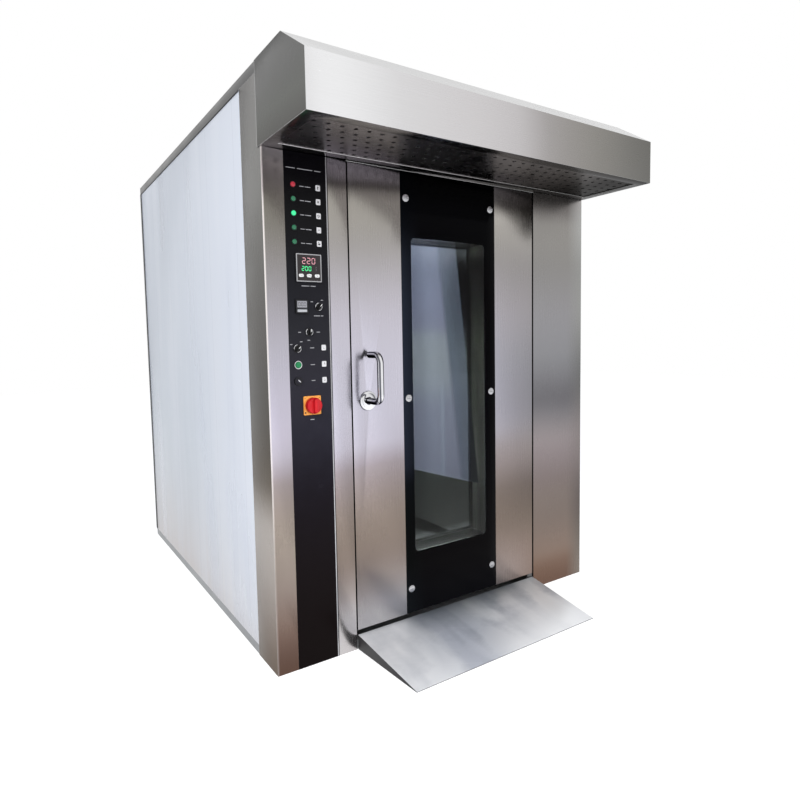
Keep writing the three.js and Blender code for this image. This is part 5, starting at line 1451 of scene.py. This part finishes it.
motorUser = {
    "x": -5, "fanY": 1560.9, "turnY": 701.4, "deck": 1942.9, "fanBody": 105, "fins": 36, "gearAxis": 2004.9,
    "gearBody": 58, "gearFins": 26,
    # profiles of (radius past the body's, height past the deck or along the axis)
    "ribs": [(0.2, 22), (0.2, 25), (0.2, 88), (0.2, 91)],
    "cowl": [(0.3, 96), (9, 96), (10, 98), (10, 124), (7, 131), (0, 135), (-35, 137), (-83, 137.5)],
    "gearRibs": [(0.2, 92), (0.2, 95), (0.2, 196), (0.2, 199)],
    "gearCowl": [(0.3, 206), (3, 206), (3.4, 208), (3.4, 252), (0, 262), (-14, 268), (-48, 270)],
    "collar": [(0.3, 71), (2.8, 71), (3.4, 72), (3.4, 82), (0.3, 84)],
    "hub": [(44, 124.1), (44, 129), (42, 131), (30, 131.5), (29, 128), (14, 128)],
    "box": (118, -40, 62, 84, 30, 84),  # place from the motor's, size, low, high
    "slotRings": (34, 50, 66, 82), "slotWidth": 7, "slotTop": 137.9, "slotFall": 1.4,
    "bolts": [  # profiles with their sides, then how many stand on which circle
        ("turnY", 6, 30, 58, [([(10, 124.1), (10, 125.5)], 24),
                              ([(7.5, 125.5), (7.5, 129.6), (6.4, 130.4), (2, 130.5)], 6)]),
        ("turnY", 4, 45, 88 * math.sqrt(2), [([(11, 6.1), (11, 8)], 24),
                                             ([(8, 8), (8, 13), (6.8, 14), (2, 14.1)], 6)]),
        ("fanY", 6, 0, 119, [([(8, 8.1), (8, 13), (6.8, 14), (2, 14.1)], 6)]),
    ],
}


def raised(profile, radius, height):
    # The profile moved out by a radius and up by a height.
    return [(radius + r, height + h) for r, h in profile]


def toothed(count, depth):
    # 1 plus a smooth-sided tooth wave: a sine pushed towards a square.
    return lambda turn: 1 + depth * (0.5 + 0.5 * np.tanh(np.sin(turn * count) * 3))


def makeMotors(user):
    # Both motors are profiles turned about their axes, the ribbed ones with a tooth wave in the
    # radius; each bolt stands at its angle on a circle.
    x, fanY, turnY, deck = user["x"], user["fanY"], user["turnY"], user["deck"]
    body, fins, gear, axis = user["fanBody"], user["fins"], user["gearBody"], user["gearAxis"]
    ribs = turned(x, fanY, raised(user["ribs"], body, deck), fins * 10, 2, toothed(fins, 0.075))
    cowl = turned(x, fanY, raised(user["cowl"], body, deck), 64)
    dx, dy, w, d, low, high = user["box"]
    levels = [(0, low), (0, high - 8), (-1.5, high - 7.5), (-1.5, high - 2), (1, high),
              (w / 2 - 1, high + 0.4)]
    wiring = stepped(x + dx, fanY + dy, raised(levels, 0, deck), box(w, d, 7), 2)
    solid("fanMotorShell", [ribs, cowl, wiring], "motorPaint", crease=28)
    slots = []
    for ring in user["slotRings"]:  # the outermost lies where the cowl already falls away
        top = deck + user["slotTop"] - user["slotFall"] * (ring == max(user["slotRings"]))
        slots += [carried(arc(x, fanY, ring, user["slotWidth"], start + 5, start + 40, 8), 2, top - 1.5, top)
                  for start in range(0, 360, 45)]
    solid("fanCowlSlots", slots, "plasticBlack", smooth=False)

    def upperFins(turn):
        # teeth all round but for the part that would touch the deck
        clear = 1 / (1 + np.exp(-(np.sin(turn) + 0.62) * 30))
        return 1 + (toothed(user["gearFins"], 0.13)(turn) - 1) * clear
    gearRibs = turned(turnY, axis, raised(user["gearRibs"], gear, 0), user["gearFins"] * 10, 0, upperFins)
    plain = [turned(turnY, axis, raised(user[key], gear, 0), 48, 0) for key in ("gearCowl", "collar")]
    hub = turned(x, turnY, raised(user["hub"], 0, deck), 48)
    solid("gearMotorShell", [gearRibs, *plain, hub], "motorPaint", crease=28)
    bolts = []
    for key, count, start, radius, profiles in user["bolts"]:
        for i in range(count):
            angle = math.radians(start + 360 / count * i)
            place = (x + radius * math.cos(angle), user[key] + radius * math.sin(angle))
            bolts += [turned(*place, raised(profile, 0, deck), sides) for profile, sides in profiles]
    solid("machineBolts", bolts, "satinChrome", smooth=False)


makeMotors(motorUser)

flueUser = {"x": -425, "y": 1487.4, "radius": 75, "top": 2094.8, "deck": 1942.7, "roll": 3, "out": 3.2,
            "collar": [(0.4, 0.2), (34, 0.2), (34, 1.6), (6, 1.8), (2.4, 4), (2.4, 34), (0.4, 34)]}


def makeFlueParts(user):
    # A rolled rim, whose section is a small circle, and a flanged collar at the deck.
    x, y, radius, roll, out = (user[k] for k in ("x", "y", "radius", "roll", "out"))
    turn = np.linspace(0, 2 * np.pi, 13)[:-1]
    rim = [(radius + out + roll * np.cos(a), user["top"] - out + roll * np.sin(a)) for a in turn]
    solid("flueRim", [turned(x, y, rim, 64)], "zincSheet", True, 180)
    solid("flueCollar", [turned(x, y, raised(user["collar"], radius, user["deck"]), 64)], "zincSheet", True)


makeFlueParts(flueUser)
print("roof machinery dressed")

turntableUser = {
    "x": -5, "y": 701.35, "floor": 55.0, "radius": 500,
    "rim": [(-9, 0.1), (-0.6, 0.1), (-0.6, 1.6), (-1.6, 2.4), (-7.6, 2.4), (-9, 1.4)],
    "boss": [(62, 0.1), (62, 2.4), (60, 4), (40, 4.6), (12, 4.8)], "boltCircle": 49,
    "bolt": [(6, 4.5), (6, 7.6), (5, 8.4), (1.6, 8.5)],
    "railGap": 205, "railHalf": 390, "railWidth": 16, "railHeight": 14, "flare": 34, "flareLength": 150,
}


def makeTurntableParts(user):
    # A rolled rim, a centre boss and two guide rails that flare where a rack rolls in.
    x, y, floor, w, h = (user[k] for k in ("x", "y", "floor", "railWidth", "railHeight"))
    rim = turned(x, y, raised(user["rim"], user["radius"], floor), 160)
    solid("turntableRim", [rim], "millSteel", True, body="turntable")
    parts = [turned(x, y, raised(user["boss"], 0, floor), 56)]
    for angle in np.radians(range(0, 360, 60)):
        place = (x + user["boltCircle"] * math.cos(angle), y + user["boltCircle"] * math.sin(angle))
        parts.append(turned(*place, raised(user["bolt"], 0, floor), 6))
    solid("turntableBoss", parts, "millSteel", crease=28, body="turntable")
    # The rail's middle line leans outwards over its first stretch, as a smooth step.
    half, long = user["railHalf"], user["flareLength"]
    along = np.linspace(-half, half, 26)
    flare = user["flare"] * np.clip((-along - half + long) / long, 0, 1) ** 2
    across, up = np.array([(-w / 2, 0.1), (w / 2, 0.1), (w / 2, h - 2), (w / 2 - 2, h), (-w / 2 + 2, h),
                           (-w / 2, h - 2)]).T
    rails = [framed([columns(x + sign * (user["railGap"] + lean) + across, floor + up, y + step, 1)
                     for lean, step in zip(flare, along)]) for sign in (-1, 1)]
    solid("rackRails", rails, "millSteel", crease=28, body="turntable")


makeTurntableParts(turntableUser)

louvreUser = {
    "face": 1302.4, "lefts": (-520.7, 400.7), "width": 110, "height": 60, "first": 205, "last": 1550,
    "pitch": 165, "lipWidth": 14, "vanePitch": 19,
    "lip": [(0, -0.2), (0, -1.6), (1.5, -3), (5.4, -3), (6.9, -1.6), (6.9, -0.2)],
    "vane": [(-1.2, -7), (-0.2, -7.4), (11.5, 6.6), (10.5, 7.4)],
}


def makeLouvres(user):
    # Air slots of the duct wall: each gets a rolled lip round its opening and tilted vanes in it.
    vanes, lips = [], []
    w, h, base = user["width"], user["height"], user["face"]
    outer = box(w + user["lipWidth"], h + user["lipWidth"], 6, 3)
    for z in np.arange(user["first"], user["last"], user["pitch"]) + h / 2:
        for x in user["lefts"]:
            lips.append(stepped(x + w / 2, z, raised(user["lip"], 0, base), outer))
            vanes += [carried(raised(user["vane"], base, z + k * user["vanePitch"]), 0, x + 0.6, x + w - 0.6)
                      for k in (-1, 0, 1)]
    solid("louvreVanes", vanes, "millSteel")
    solid("louvreLips", lips, "chamberSteel", True)


makeLouvres(louvreUser)

innerDoorUser = {"x": -11.5, "z": 943, "width": 421, "height": 1286, "face": 108.1, "frame": 19, "corner": 16}


def makeInnerFrame(user):
    # A retaining frame round the inner glass with its screws, on the door's chamber side.
    x, z, wide, width, height = (user[k] for k in ("x", "z", "frame", "width", "height"))
    section = raised([(0, 0), (0, 1.4), (0.8, 2), (wide - 0.8, 2), (wide, 1.4), (wide, 0)], 0, user["face"])
    face("innerFrame", x, z, section, box(width, height, user["corner"]), "doorBackSteel", ring=True,
         body="door")
    halfW, halfH = (width - wide) / 2, (height - wide) / 2
    heads = [(sx * halfW, sz) for sx in (-1, 1) for sz in np.linspace(-halfH + 20, halfH - 20, 7)]
    heads += [(sx, sz * halfH) for sz in (-1, 1) for sx in (-90, 90)]
    solid("innerFrameScrews", [screw(x + dx, z + dz, user["face"] + 2, 4.5, 1.8) for dx, dz in heads],
          "satinChrome", body="door")


makeInnerFrame(innerDoorUser)
print("chamber fittings made")
